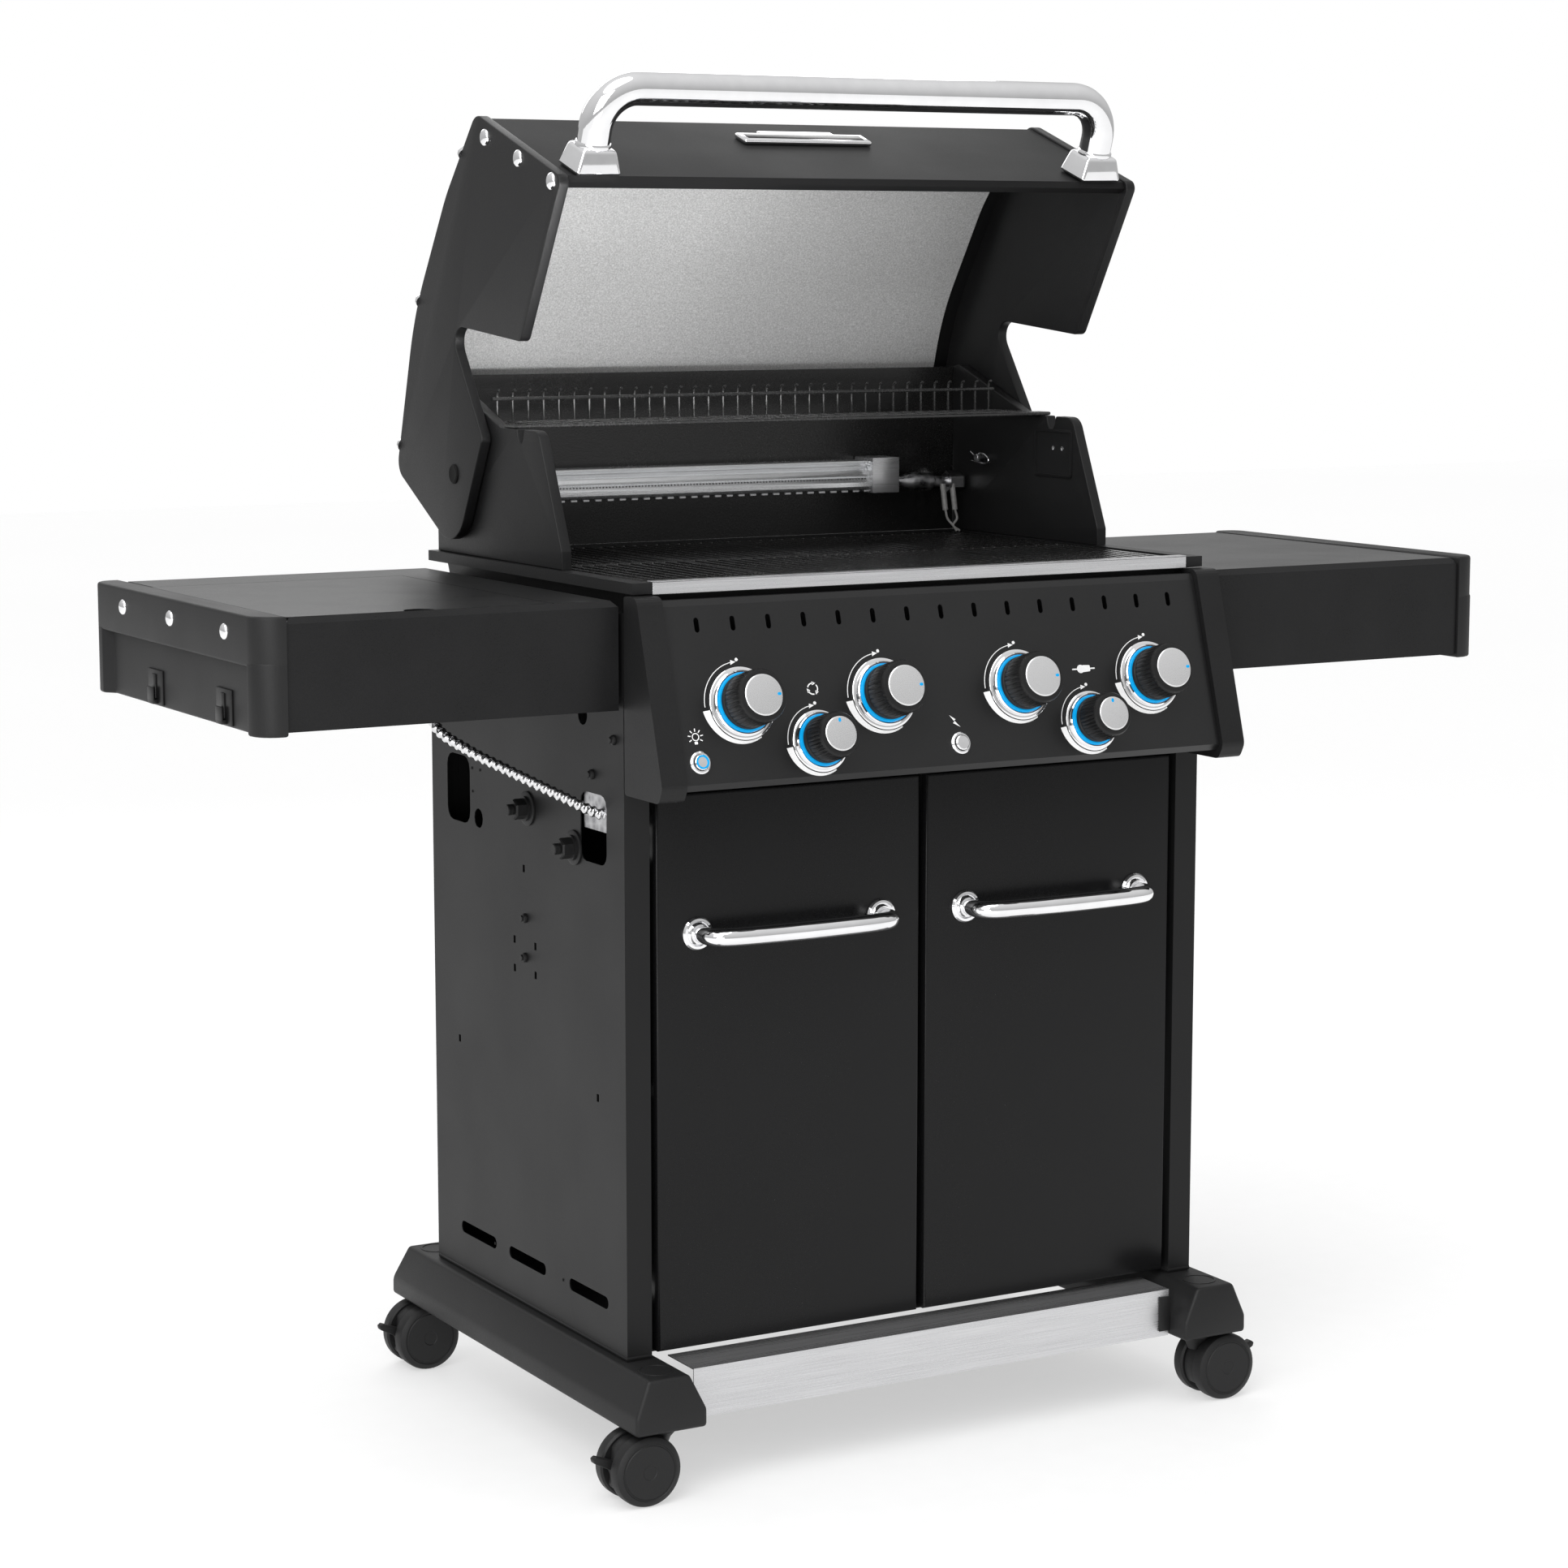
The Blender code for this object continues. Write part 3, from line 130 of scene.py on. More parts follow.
LINER = surface("speckled_liner", (0.42, 0.42, 0.42), (0.80, 0.80, 0.795), (0.42, 0.55), 0.30, grain=620,
                bump=0.30, depth=0.0003, blotch=1.2)
STEEL = surface("brushed_steel", (0.52, 0.52, 0.53), (0.68, 0.68, 0.69), (0.22, 0.34), 0.85, grain=900,
                bump=0.06,
                depth=0.0002, stretch=(0.012, 1, 1), blotch=24)
BRIGHT = surface("bright_steel", (0.66, 0.66, 0.67), (0.82, 0.82, 0.83), (0.10, 0.24), 1.0, grain=300,
                 bump=0.05)
TROUGH = surface("bright_trough", (0.74, 0.75, 0.76), (0.90, 0.91, 0.92), (0.14, 0.20), 0.75, grain=1100,
                 bump=0.05,
                 stretch=(0.02, 1, 1))
CHROME = surface("chrome", (0.88, 0.88, 0.89), (0.94, 0.94, 0.95), (0.035, 0.075), 1.0, grain=60, bump=0.01)
CAP = surface("spun_cap", (0.74, 0.74, 0.745), (0.84, 0.84, 0.845), (0.24, 0.32), 0.90, grain=2400, bump=0.03,
              depth=0.0001, blotch=4)
GRIP = surface("grip_rubber", (0.0050, 0.0050, 0.0052), (0.0085, 0.0085, 0.0087), (0.34, 0.44), grain=1200,
               bump=0.12,
               specular=0.34)
LIT = surface("lit_ring", (0.0, 0.12, 0.26), (0.0, 0.20, 0.40), (0.22, 0.30), grain=300, bump=0.02,
              specular=0.2,
              emission=((0.004, 0.30, 0.66), 0.75))
PRINT = surface("white_print", (0.80, 0.80, 0.80), (0.92, 0.92, 0.92), (0.40, 0.50), grain=700, bump=0.03)
ZINC = surface("zinc", (0.26, 0.26, 0.27), (0.62, 0.62, 0.63), (0.25, 0.45), 1.0, grain=110, bump=0.12,
               kind="cells")
CERAMIC = surface("ceramic", (0.20, 0.195, 0.19), (0.34, 0.335, 0.33), (0.30, 0.42), grain=500, bump=0.05)
BRASS = surface("brass", (0.42, 0.30, 0.12), (0.58, 0.43, 0.18), (0.25, 0.40), 1.0, grain=300, bump=0.06)
# Near-black: the own colour of dark parts such as the pivot heads, and painted shade where it stands in for the
# depth of small holes and ports.
DARK_AND_HOLE_SHADE = surface("dark_part_and_hole_shade", (0.0030, 0.0030, 0.0030), (0.0045, 0.0045, 0.0045), (0.70, 0.80), grain=200,
               bump=0.05,
               specular=0.2)
FLOOR = surface("floor", (0.44, 0.44, 0.44), (0.46, 0.46, 0.46), (0.60, 0.70), grain=30, bump=0.01, blotch=0.4,
                specular=0.1, emission=((1.0, 1.0, 1.0), 0.52))

NODE_LOOK = {"side_panel": PAINT, "cabinet_floor": PAINT, "rear_panel": PAINT, "firebox": CAST, "lid": CAST,
             "firebox_rear_wall": IRON, "lid_shell": HOOD, "side_table": TABLE, "side_burner_lid": TABLE,
             "door": GLOSS, "control_panel": PANEL, "panel_end_cap": CAST, "cooking_grid": IRON,
             "warming_rack": WIRE,
             "side_burner_grate": IRON, "front_trim": STEEL, "grease_tray": STEEL, "main_burners": STEEL,
             "flame_tamer": STEEL, "rotisserie_burner": TROUGH, "side_burner": STEEL, "gas_line": BRIGHT,
             "lid_handle": CHROME, "door_handle": CHROME, "light_button": CHROME, "ignition_button": CHROME,
             "gas_manifold": BRASS, "foot_rail": PLASTIC, "table_end_cap": PLASTIC, "burner_knob": GRIP,
             "side_burner_knob": GRIP, "rotisserie_knob": GRIP, "caster": PLASTIC}
for name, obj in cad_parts.items():
    best = max((key for key in NODE_LOOK if name.startswith(key)), key=len)
    obj.data.materials.clear()
    obj.data.materials.append(NODE_LOOK[best])


# ---- shapes ---------------------------------------------------------------------------------------


def piece(name, mesh, look, body=BODY, at=AT_DATUM, replaces=(), sharp=32):
    """An object from a finished mesh: shaded, placed, riding on its body."""
    mesh.materials.clear()
    mesh.materials.append(look)
    if sharp:
        mesh.shade_smooth()
        mesh.set_sharp_from_angle(angle=math.radians(sharp))
    mesh.transform(at)
    made = bpy.data.objects.new(name, mesh)
    bpy.context.scene.collection.objects.link(made)
    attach(made, body)
    if replaces:
        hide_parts(*replaces)
    return made


def to_mesh(bm, name="mesh"):
    bmesh.ops.recalc_face_normals(bm, faces=bm.faces)
    mesh = bpy.data.meshes.new(name)
    bm.to_mesh(mesh)
    bm.free()
    return mesh


def add_box(bm, low, high, soft=0.0, steps=2):
    low, high = Vector(low), Vector(high)
    verts = bmesh.ops.create_cube(bm, size=1.0)["verts"]
    bmesh.ops.scale(bm, verts=verts, vec=high - low)
    bmesh.ops.translate(bm, verts=verts, vec=(low + high) / 2)
    if soft:
        edges = list({e for v in verts for e in v.link_edges})
        bmesh.ops.bevel(bm, geom=edges, offset=soft, segments=steps, affect="EDGES", profile=0.5)


def on_axis(start, axis):
    """Places a shape drawn up Z from the origin at start, along axis."""
    turn = Vector((0, 0, 1)).rotation_difference(Vector(axis)).to_matrix().to_4x4()
    return Matrix.Translation(Vector(start)) @ turn


def add_turned(bm, profile, start=(0, 0, 0), axis=(0, 0, 1), sides=32, wave=None):
    """Turns (radius, height) points about an axis; wave adds to a radius, from its step and its place round."""
    place = on_axis(start, axis)
    rings = []
    for step, (radius, height) in enumerate(profile):
        if radius < 1e-6:
            rings.append([bm.verts.new(place @ Vector((0, 0, height)))])
            continue
        ring = []
        for k in range(sides):
            angle = 2 * math.pi * k / sides
            r = radius + (wave(step, k) if wave else 0.0)
            ring.append(bm.verts.new(place @ Vector((r * math.cos(angle), r * math.sin(angle), height))))
        rings.append(ring)
    for a, b in zip(rings, rings[1:]):
        for k in range(sides):
            j = (k + 1) % sides
            if len(a) == 1:
                bm.faces.new((a[0], b[j], b[k]))
            elif len(b) == 1:
                bm.faces.new((a[k], a[j], b[0]))
            else:
                bm.faces.new((a[k], a[j], b[j], b[k]))
    for ring in (rings[0], rings[-1]):
        if len(ring) > 1:
            bm.faces.new(ring)


def closed_turn(bm, profile, start=(0, 0, 0), axis=(0, 0, 1), sides=32):
    """As add_turned, for a profile that closes on itself, such as a ring's section."""
    place = on_axis(start, axis)
    rings = []
    for radius, height in profile:
        angles = [2 * math.pi * k / sides for k in range(sides)]
        rings.append([bm.verts.new(place @ Vector((radius * math.cos(a), radius * math.sin(a), height)))
                      for a in angles])
    for a, b in zip(rings, rings[1:] + rings[:1]):
        for k in range(sides):
            j = (k + 1) % sides
            bm.faces.new((a[k], a[j], b[j], b[k]))


def add_rod(bm, start, end, radius, sides=16, soft=0.0):
    start, end = Vector(start), Vector(end)
    length = (end - start).length
    profile = [(0, 0), (radius, 0), (radius, length), (0, length)]
    if soft:
        profile = [(0, 0), (radius - soft, 0), (radius, soft), (radius, length - soft), (radius - soft, length),
                   (0, length)]
    add_turned(bm, profile, start, end - start, sides)


def add_hex(bm, start, axis, across, height):
    """A hexagon head with a chamfered crown."""
    r = across / math.sqrt(3)
    add_turned(bm, [(0, 0), (r, 0), (r, height * 0.85), (r * 0.9, height), (0, height)], start, axis, 6)


def add_rings(bm, rings):
    """A block through rectangles given as (x0, x1, y0, y1, z), closed at its first and last."""
    loops = []
    for x0, x1, y0, y1, z in rings:
        loops.append([bm.verts.new(c) for c in ((x0, y0, z), (x1, y0, z), (x1, y1, z), (x0, y1, z))])
    bm.faces.new(loops[0])
    bm.faces.new(loops[-1])
    for a, b in zip(loops, loops[1:]):
        for i in range(4):
            j = (i + 1) % 4
            bm.faces.new((a[i], a[j], b[j], b[i]))
    bmesh.ops.recalc_face_normals(bm, faces=bm.faces)


def soften(bm, offset, segments=3, degrees=25):
    edges = [e for e in bm.edges if e.is_manifold and e.calc_face_angle(0.0) > math.radians(degrees)]
    bmesh.ops.bevel(bm, geom=edges, offset=offset, segments=segments, affect="EDGES", profile=0.5,
                    clamp_overlap=True)


def rounded(corners, steps=5):
    """A closed outline with an arc at each corner, from (u, v, radius)."""
    points = []
    count = len(corners)
    for i, (u, v, radius) in enumerate(corners):
        here = Vector((u, v))
        before = (Vector(corners[i - 1][:2]) - here).normalized()
        after = (Vector(corners[(i + 1) % count][:2]) - here).normalized()
        half = math.acos(max(-1.0, min(1.0, before.dot(after)))) / 2
        if radius <= 0 or half > math.radians(89.5):
            points.append(here)
            continue
        centre = here + (before + after).normalized() * (radius / math.sin(half))
        start = here + before * (radius / math.tan(half)) - centre
        end = here + after * (radius / math.tan(half)) - centre
        sweep = start.angle_signed(end)
        for k in range(steps + 1):
            points.append(centre + Matrix.Rotation(-sweep * k / steps, 2) @ start)
    return points


def rectangle(u0, u1, v0, v1, radius=0.0, steps=3):
    return rounded([(u0, v0, radius), (u1, v0, radius), (u1, v1, radius), (u0, v1, radius)], steps)


def circle(u, v, radius, sides=24):
    return [Vector((u + radius * math.cos(2 * math.pi * k / sides),
                    v + radius * math.sin(2 * math.pi * k / sides)))
            for k in range(sides)]


COLUMNS = {"X": ((0, 1, 0), (0, 0, 1), (1, 0, 0)), "Y": ((1, 0, 0), (0, 0, 1), (0, -1, 0)),
           "Z": ((1, 0, 0), (0, 1, 0), (0, 0, 1))}


def flat(outlines, low, high, across, soft=0.0, steps=2):
    """A plate with holes and rounded edges: 2D outlines drawn across an axis, filled between low and high."""
    data = bpy.data.curves.new("flat", "CURVE")
    data.dimensions = "2D"
    data.fill_mode = "BOTH"
    data.extrude = (high - low) / 2 - soft
    data.bevel_depth = soft
    data.bevel_resolution = steps - 1
    data.offset = -soft
    for outline in outlines:
        spline = data.splines.new("POLY")
        spline.points.add(len(outline) - 1)
        for point, at in zip(spline.points, outline):
            point.co = (at[0], at[1], 0.0, 1.0)
        spline.use_cyclic_u = True
    mesh = curve_mesh(data)
    turn = Matrix(COLUMNS[across]).transposed().to_4x4()
    middle = (low + high) / 2
    shift = {"X": (middle, 0, 0), "Y": (0, middle, 0), "Z": (0, 0, middle)}[across]
    mesh.transform(Matrix.Translation(shift) @ turn)
    return mesh


def curve_mesh(data):
    holder = bpy.data.objects.new("holder", data)
    bpy.context.scene.collection.objects.link(holder)
    bpy.context.view_layer.update()
    mesh = bpy.data.meshes.new_from_object(holder.evaluated_get(bpy.context.evaluated_depsgraph_get()))
    bpy.data.objects.remove(holder, do_unlink=True)
    bm = bmesh.new()
    bm.from_mesh(mesh)
    bmesh.ops.remove_doubles(bm, verts=bm.verts, dist=0.00001)
    bmesh.ops.recalc_face_normals(bm, faces=bm.faces)
    bm.to_mesh(mesh)
    bm.free()
    return mesh


def tube(points, radius, resolution=6, radii=None):
    data = bpy.data.curves.new("tube", "CURVE")
    data.dimensions = "3D"
    data.bevel_depth = radius
    data.bevel_resolution = resolution
    data.use_fill_caps = True
    spline = data.splines.new("POLY")
    spline.points.add(len(points) - 1)
    for k, (point, at) in enumerate(zip(spline.points, points)):
        point.co = (*at, 1.0)
        point.radius = radii[k] if radii else 1.0
    return curve_mesh(data)


def through(points, per_span=4):
    """A smooth route through every point."""
    route = [Vector(p) for p in points]
    ends = [2 * route[0] - route[1], *route, 2 * route[-1] - route[-2]]
    made = []
    for a, b, c, d in zip(ends, ends[1:], ends[2:], ends[3:]):
        for k in range(per_span):
            t = k / per_span
            made.append(0.5 * (2 * b + (c - a) * t + (2 * a - 5 * b + 4 * c - d) * t**2
                               + (3 * b - a - 3 * c + d) * t**3))
    made.append(route[-1])
    return made


def merged(*meshes):
    bm = bmesh.new()
    for mesh in meshes:
        bm.from_mesh(mesh)
    made = bpy.data.meshes.new("merged")
    bm.to_mesh(made)
    bm.free()
    return made


# ---- sloped panel -----------------------------------------------------------------------------------

SLOPE = PANEL_FOOT - PANEL_TOP
PANEL_LENGTH = SLOPE.length
DOWN = Vector((0.0, SLOPE.x, SLOPE.y)) / PANEL_LENGTH
OUT = Vector((0.0, DOWN.z, -DOWN.y))
PANEL_TURN = Matrix.Rotation(math.atan2(-OUT.y, OUT.z), 4, "X")


def panel_at(x, down, out=0.0):
    """The panel's own axes at a point on it: X along it, Y up it, Z out of it."""
    where = Vector((x, *PANEL_TOP)) + DOWN * down + OUT * out
    return AT_DATUM @ Matrix.Translation(where) @ PANEL_TURN


def arc(radius, start, end, steps=24, last=None):
    """Points on an arc, angles in degrees clockwise from twelve o'clock; last is the radius at its end."""
    last = radius if last is None else last
    made = []
    for k in range(steps + 1):
        angle = math.radians(start + (end - start) * k / steps)
        r = radius + (last - radius) * (k / steps)
        made.append(Vector((r * math.sin(angle), r * math.cos(angle))))
    return made


def print_on(name, outlines, at):
    piece(name, flat(outlines, 0.0001, 0.00035, "Z"), PRINT, at=at, sharp=0)


def ribbed(step, k, band, depth):
    """Cuts every third line of a turned shape inward, on the steps in band."""
    return -depth if step in band and k % 3 == 2 else 0.0


def knob(name, x, down, big, cap_turn, body):
    """Ribbed grip, spun cap and pointer, which turn; bezel, lit ring and print, which stay on the panel."""
    at = panel_at(x, down)
    base, top = (0.0277, 0.0465) if big else (0.0239, 0.0440)
    tip, r = (0.0271, 0.0207) if big else (0.0232, 0.0174)
    grip = [(0, 0.0078), (base - 0.001, 0.0078), (base, 0.0088), (base, 0.0125), (base - 0.0010, 0.0138),
            (tip + 0.0007, 0.0200), (tip + 0.0004, top - 0.0130), (tip + 0.0001, top - 0.0075),
            (tip - 0.0004, top - 0.0045), (tip - 0.0018, top - 0.0022), (r + 0.0012, top - 0.0012),
            (r + 0.0004, top - 0.0013), (0, top - 0.0013)]
    bm = bmesh.new()
    add_turned(bm, grip, sides=108, wave=lambda step, k: ribbed(step, k, (5, 6, 7), 0.0012))
    piece(name + "_grip", to_mesh(bm), GRIP, body, at, (name,), sharp=28)
    bm = bmesh.new()
    add_turned(bm, [(0, top - 0.0016), (r, top - 0.0016), (r, top - 0.0008), (r - 0.0008, top - 0.0002),
                    (r - 0.0018, top), (0, top)], sides=64)
    piece(name + "_cap", to_mesh(bm), CAP, body, at)
    mark = flat([rounded([(-0.0015, r - 0.0060, 0.0014), (0.0015, r - 0.0060, 0.0014),
                          (0.0015, r - 0.0018, 0.0014),
                          (-0.0015, r - 0.0018, 0.0014)])], top - 0.0004, top + 0.0003, "Z", 0.0002)
    mark.transform(Matrix.Rotation(-math.radians(cap_turn), 4, "Z"))
    piece(name + "_pointer", mark, LIT, body, at)
    bm = bmesh.new()
    glow = base + 0.0022
    closed_turn(bm, [(base - 0.006, 0.0024), (glow, 0.0024), (glow, 0.0060), (glow - 0.0012, 0.0074),
                     (base - 0.006, 0.0074)], sides=72)
    piece(name + "_lit_ring", to_mesh(bm), LIT, at=at)
    bm = bmesh.new()
    rim = 0.0366 if big else 0.0313
    closed_turn(bm, [(base - 0.006, 0.0002), (rim, 0.0002), (rim, 0.0012), (rim - 0.0008, 0.0018),
                     (glow + 0.0034, 0.0021), (glow + 0.0026, 0.0056), (glow + 0.0016, 0.0066),
                     (glow + 0.0005, 0.0062), (glow + 0.0003, 0.0026), (base - 0.006, 0.0024)], sides=72)
    piece(name + "_bezel", to_mesh(bm), CHROME, at=at)
    dot, line = (0.0440, 0.0420) if big else (0.0385, 0.0365)
    sweep = arc(line + 0.0004, -92, -9) + arc(line - 0.0004, -92, -9)[::-1]
    head = [Vector((-0.0068, line + 0.0018)), Vector((-0.0012, line - 0.0002)),
            Vector((-0.0072, line - 0.0030))]
    print_on(name + "_arrow", [sweep, circle(0.0, dot, 0.0017, 20)], at)
    print_on(name + "_arrow_head", [head], at)
    inner = rim + 0.0008
    outer = 0.0452 if big else 0.0392
    scale = arc(inner, -97, -205, 28) + arc(outer, -97, -205, 28, inner + 0.0012)[::-1]
    print_on(name + "_scale", [scale], at)


def controls():
    for k, x in enumerate(KNOB_X):
        knob(f"burner_knob_{k + 1}", x, 0.1000, True, 90, f"burner_knob_{k + 1}")
    knob("side_burner_knob", SMALL_KNOB_X[0], 0.1430, False, 0, "side_burner_knob")
    knob("rotisserie_knob", SMALL_KNOB_X[1], 0.1430, False, 0, "rotisserie_knob")
    for name, x in (("light_button", -0.2999), ("ignition_button", 0.0)):
        at = panel_at(x, 0.1558)
        bm = bmesh.new()
        closed_turn(bm, [(0.0084, 0.0002), (0.0114, 0.0002), (0.0112, 0.0018), (0.0098, 0.0030),
                         (0.0084, 0.0030)],
                    sides=48)
        piece(name + "_bezel", to_mesh(bm), CHROME, at=at)
        if x < 0:
            bm = bmesh.new()
            closed_turn(bm, [(0.0052, 0.0058), (0.0070, 0.0058), (0.0070, 0.0066), (0.0052, 0.0067)],
                        sides=40)
            piece(name + "_lit_ring", to_mesh(bm), LIT, name, at)
    symbols()


def symbols():
    """Plain symbols: a lamp, a spark, a burner's flames, and a spit."""
    rays = [circle(0, 0.0010, 0.0040, 24), circle(0, 0.0010, 0.0031, 24)[::-1],
            rectangle(-0.0017, 0.0017, -0.0062, -0.0036)]
    for k in range(7):
        turn = Matrix.Rotation(math.radians(-120 + 40 * k), 2)
        rays.append([turn @ p + Vector((0, 0.0010)) for p in rectangle(-0.0005, 0.0005, 0.0054, 0.0084)])
    print_on("lamp_symbol", rays, panel_at(-0.3010, 0.1310))
    spark = [(-0.0052, 0.0066), (0.0018, 0.0018), (-0.0004, 0.0010), (0.0062, -0.0062), (-0.0020, -0.0016),
             (0.0003, -0.0006)]
    print_on("spark_symbol", [[Vector(p) for p in spark]], panel_at(-0.0035, 0.1330))
    flames = []
    for k in range(3):
        turn = Matrix.Rotation(math.radians(120 * k + 30), 2)
        blade = arc(0.0062, -42, 42, 8) + arc(0.0050, -42, 42, 8)[::-1]
        flames.append([turn @ p for p in blade])
        flames.append([turn @ Vector(p) for p in ((0.0035, 0.0064), (0.0060, 0.0028), (0.0018, 0.0030))])
    print_on("side_burner_symbol", flames, panel_at(SMALL_KNOB_X[0], 0.0900))
    spit = [rectangle(-0.0140, 0.0140, -0.0007, 0.0007), circle(-0.0035, 0.0, 0.0044, 20),
            rounded([(-0.001, -0.0036, 0.001), (0.0082, -0.0028, 0.001), (0.0082, 0.0034, 0.001),
                     (-0.001, 0.0040, 0.001)])]
    for k, outline in enumerate(spit):
        print_on(f"spit_symbol_{k + 1}", [outline], panel_at(SMALL_KNOB_X[1], 0.0880, 0.00003 * k))


# ---- hood -------------------------------------------------------------------------------------------

LID_CORNERS = [(-0.2570, 0.7935, 0.009), (-0.0660, 0.7990, 0.010), (0.0058, 0.9608, 0.0165),
               (0.0694, 0.8322, 0.010),
               (0.2145, 0.8310, 0.045), (0.2145, 1.0050, 0.020), (0.0400, 1.0420, 0.300),
               (-0.1100, 1.0280, 0.200), (*LID_BROW, 0.018)]
SKIN = [(-0.2510, 0.7960, 0), (*LID_LIP, 0), (*LID_BROW, 0.018), (-0.1100, 1.0280, 0.200),
        (0.0400, 1.0420, 0.300), (0.2050, 1.0070, 0)]


def from_pivot(corners):
    return [(y - PIVOT.x, z - PIVOT.y, r) for y, z, r in corners]


def offset_line(points, distance):
    moved = []
    for i, here in enumerate(points):
        ahead = points[min(i + 1, len(points) - 1)] - points[max(i - 1, 0)]
        moved.append(here + Vector((-ahead.y, ahead.x)).normalized() * distance)
    return moved


def hood():
    outline = rounded(from_pivot(LID_CORNERS), 14)
    for side, word in SIDES:
        low, high = sorted((side * 0.3365, side * 0.348))
        end = flat([outline], low, high, "X", 0.0014, 3)
        piece("hood_end_" + word, end, CAST, "lid", AT_LID, ("lid_end_" + word,))
    line = rounded(from_pivot(SKIN), 14)
    skin = offset_line(line, -0.0025) + offset_line(line, -0.0125)[::-1]
    piece("hood_skin", flat([skin], -0.3361, 0.3361, "X", 0.0006, 2), HOOD, "lid", AT_LID, ("lid_shell",),
          sharp=25)
    inside = offset_line(line, -0.0128)
    lip = Vector(inside[1])
    run = [lip + (inside[2] - lip).normalized() * 0.018, *inside[2:]]
    liner = run + offset_line(run, -0.0009)[::-1]
    piece("hood_liner", flat([liner], -0.318, 0.318, "X"), LINER, "lid", AT_LID, sharp=25)
    hood_trim()


def lid_frame(along):
    """A point on the hood's front skin, this far up it from the lip, and the skin's up and out directions."""
    up = (LID_BROW - LID_LIP).normalized()
    out = Vector((-up.y, up.x))
    return LID_LIP - PIVOT + up * along - out * 0.0025, up, out


def seat_on_lid(bm, made, x, along):
    """Adds a shape drawn flat, with Z out of the hood's skin, at a point on that skin."""
    seat, up, out = lid_frame(along)
    mesh = to_mesh(made)
    mesh.transform(Matrix(((1, 0, 0, x), (0, up.x, out.x, seat.x), (0, up.y, out.y, seat.y), (0, 0, 0, 1))))
    bm.from_mesh(mesh)


def add_lid_box(bm, x, along, size, soft):
    """A softened block on the hood's skin: size is (width, height along the skin, stand-off)."""
    made = bmesh.new()
    add_box(made, (-size[0] / 2, -size[1] / 2, 0.0002), (size[0] / 2, size[1] / 2, size[2]), soft, 3)
    seat_on_lid(bm, made, x, along)


def add_lid_block(bm, x, along, sections):
    """A tapering foot on the hood's skin, from (width, height along the skin, stand-off) sections."""
    made = bmesh.new()
    add_rings(made, [(-w / 2, w / 2, -h / 2, h / 2, z + 0.0002) for w, h, z in sections])
    soften(made, 0.0045, 4, 30)
    seat_on_lid(bm, made, x, along)


def hood_trim():
    """Handle, its feet and collars, the blank badge, the screw caps and the pivots' heads."""
    foot_at = 0.0175
    seat, _, out = lid_frame(foot_at)
    bend, reach, leg = 0.042, 0.0855, 0.303
    arc_points = []
    for k in range(17):
        turn = math.pi / 2 * k / 16
        at = seat + out * (reach - bend + bend * math.sin(turn))
        arc_points.append((leg - bend + bend * math.cos(turn), *at))
    half = [(leg, *(seat + out * 0.010)), *arc_points]
    points = [(-p[0], *p[1:]) for p in half] + half[::-1]
    piece("handle_tube", tube(points, 0.0172, 10), CHROME, "lid", AT_LID, ("lid_handle",), sharp=40)
    bm = bmesh.new()
    for side in (-1, 1):
        add_lid_block(bm, side * leg, foot_at, ((0.050, 0.046, 0.0), (0.050, 0.046, 0.004),
                                                (0.038, 0.037, 0.026)))
    piece("handle_feet", to_mesh(bm), CHROME, "lid", AT_LID, sharp=40)
    bm = bmesh.new()
    for side in (-1, 1):
        closed_turn(bm, [(0.0171, 0.0), (0.0186, 0.0), (0.0186, 0.0030), (0.0180, 0.0042), (0.0171, 0.0042)],
                    (side * leg, *(seat + out * 0.0258)), (0, *out), 40)
    piece("handle_collars", to_mesh(bm), CHROME, "lid", AT_LID, sharp=40)
    plate = bmesh.new()
    add_lid_box(plate, 0.004, 0.126, (0.156, 0.026, 0.0060), 0.0022)
    add_lid_box(plate, 0.004, 0.142, (0.092, 0.016, 0.0050), 0.0022)
    piece("badge", to_mesh(plate), CHROME, "lid", AT_LID, sharp=40)
    plate = bmesh.new()
    add_lid_box(plate, 0.004, 0.126, (0.142, 0.013, 0.0065), 0.0004)
    piece("badge_field", to_mesh(plate), GLOSS, "lid", AT_LID, sharp=40)
    bm = bmesh.new()
    for side in (-1, 1):
        for y, z in ((-0.210, 0.968), (-0.228, 0.888), (-0.2435, 0.810)):
            dome(bm, (side * HOOD_END_FACE, y - PIVOT.x, z - PIVOT.y), (side, 0, 0), 0.0090)
        for y in (-0.167, 0.023, 0.187):
            seat, normal = on_hood_top(y)
            add_turned(bm, [(0, -0.0004), (0.0078, -0.0004), (0.0078, 0.0030), (0.0066, 0.0054), (0, 0.0060)],
                       (side * 0.3422, *seat), (0, *normal), 24)
    piece("hood_screw_caps", to_mesh(bm), CHROME, "lid", AT_LID)
    bm = bmesh.new()
    for side in (-1, 1):
        add_turned(bm, [(0, 0), (0.0105, 0), (0.0105, 0.0012), (0.0090, 0.0022), (0.0060, 0.0018), (0, 0.0018)],
                   (side * HOOD_END_FACE, 0, 0), (side, 0, 0), 32)
    piece("pivot_heads", to_mesh(bm), DARK_AND_HOLE_SHADE, "lid", AT_LID)


def on_hood_top(y):
    """The point of a hood end's upper edge above y, and its outward direction."""
    edge = [p for p in rounded(from_pivot(LID_CORNERS), 14) if p.y > 0.95 - PIVOT.y]
    a, b = next((a, b) for a, b in zip(edge, edge[1:]) if (a.x - y + PIVOT.x) * (b.x - y + PIVOT.x) <= 0)
    share = (y - PIVOT.x - a.x) / (b.x - a.x)
    along = (b - a).normalized()
    normal = Vector((-along.y, along.x))
    return a.lerp(b, share), normal if normal.y > 0 else -normal


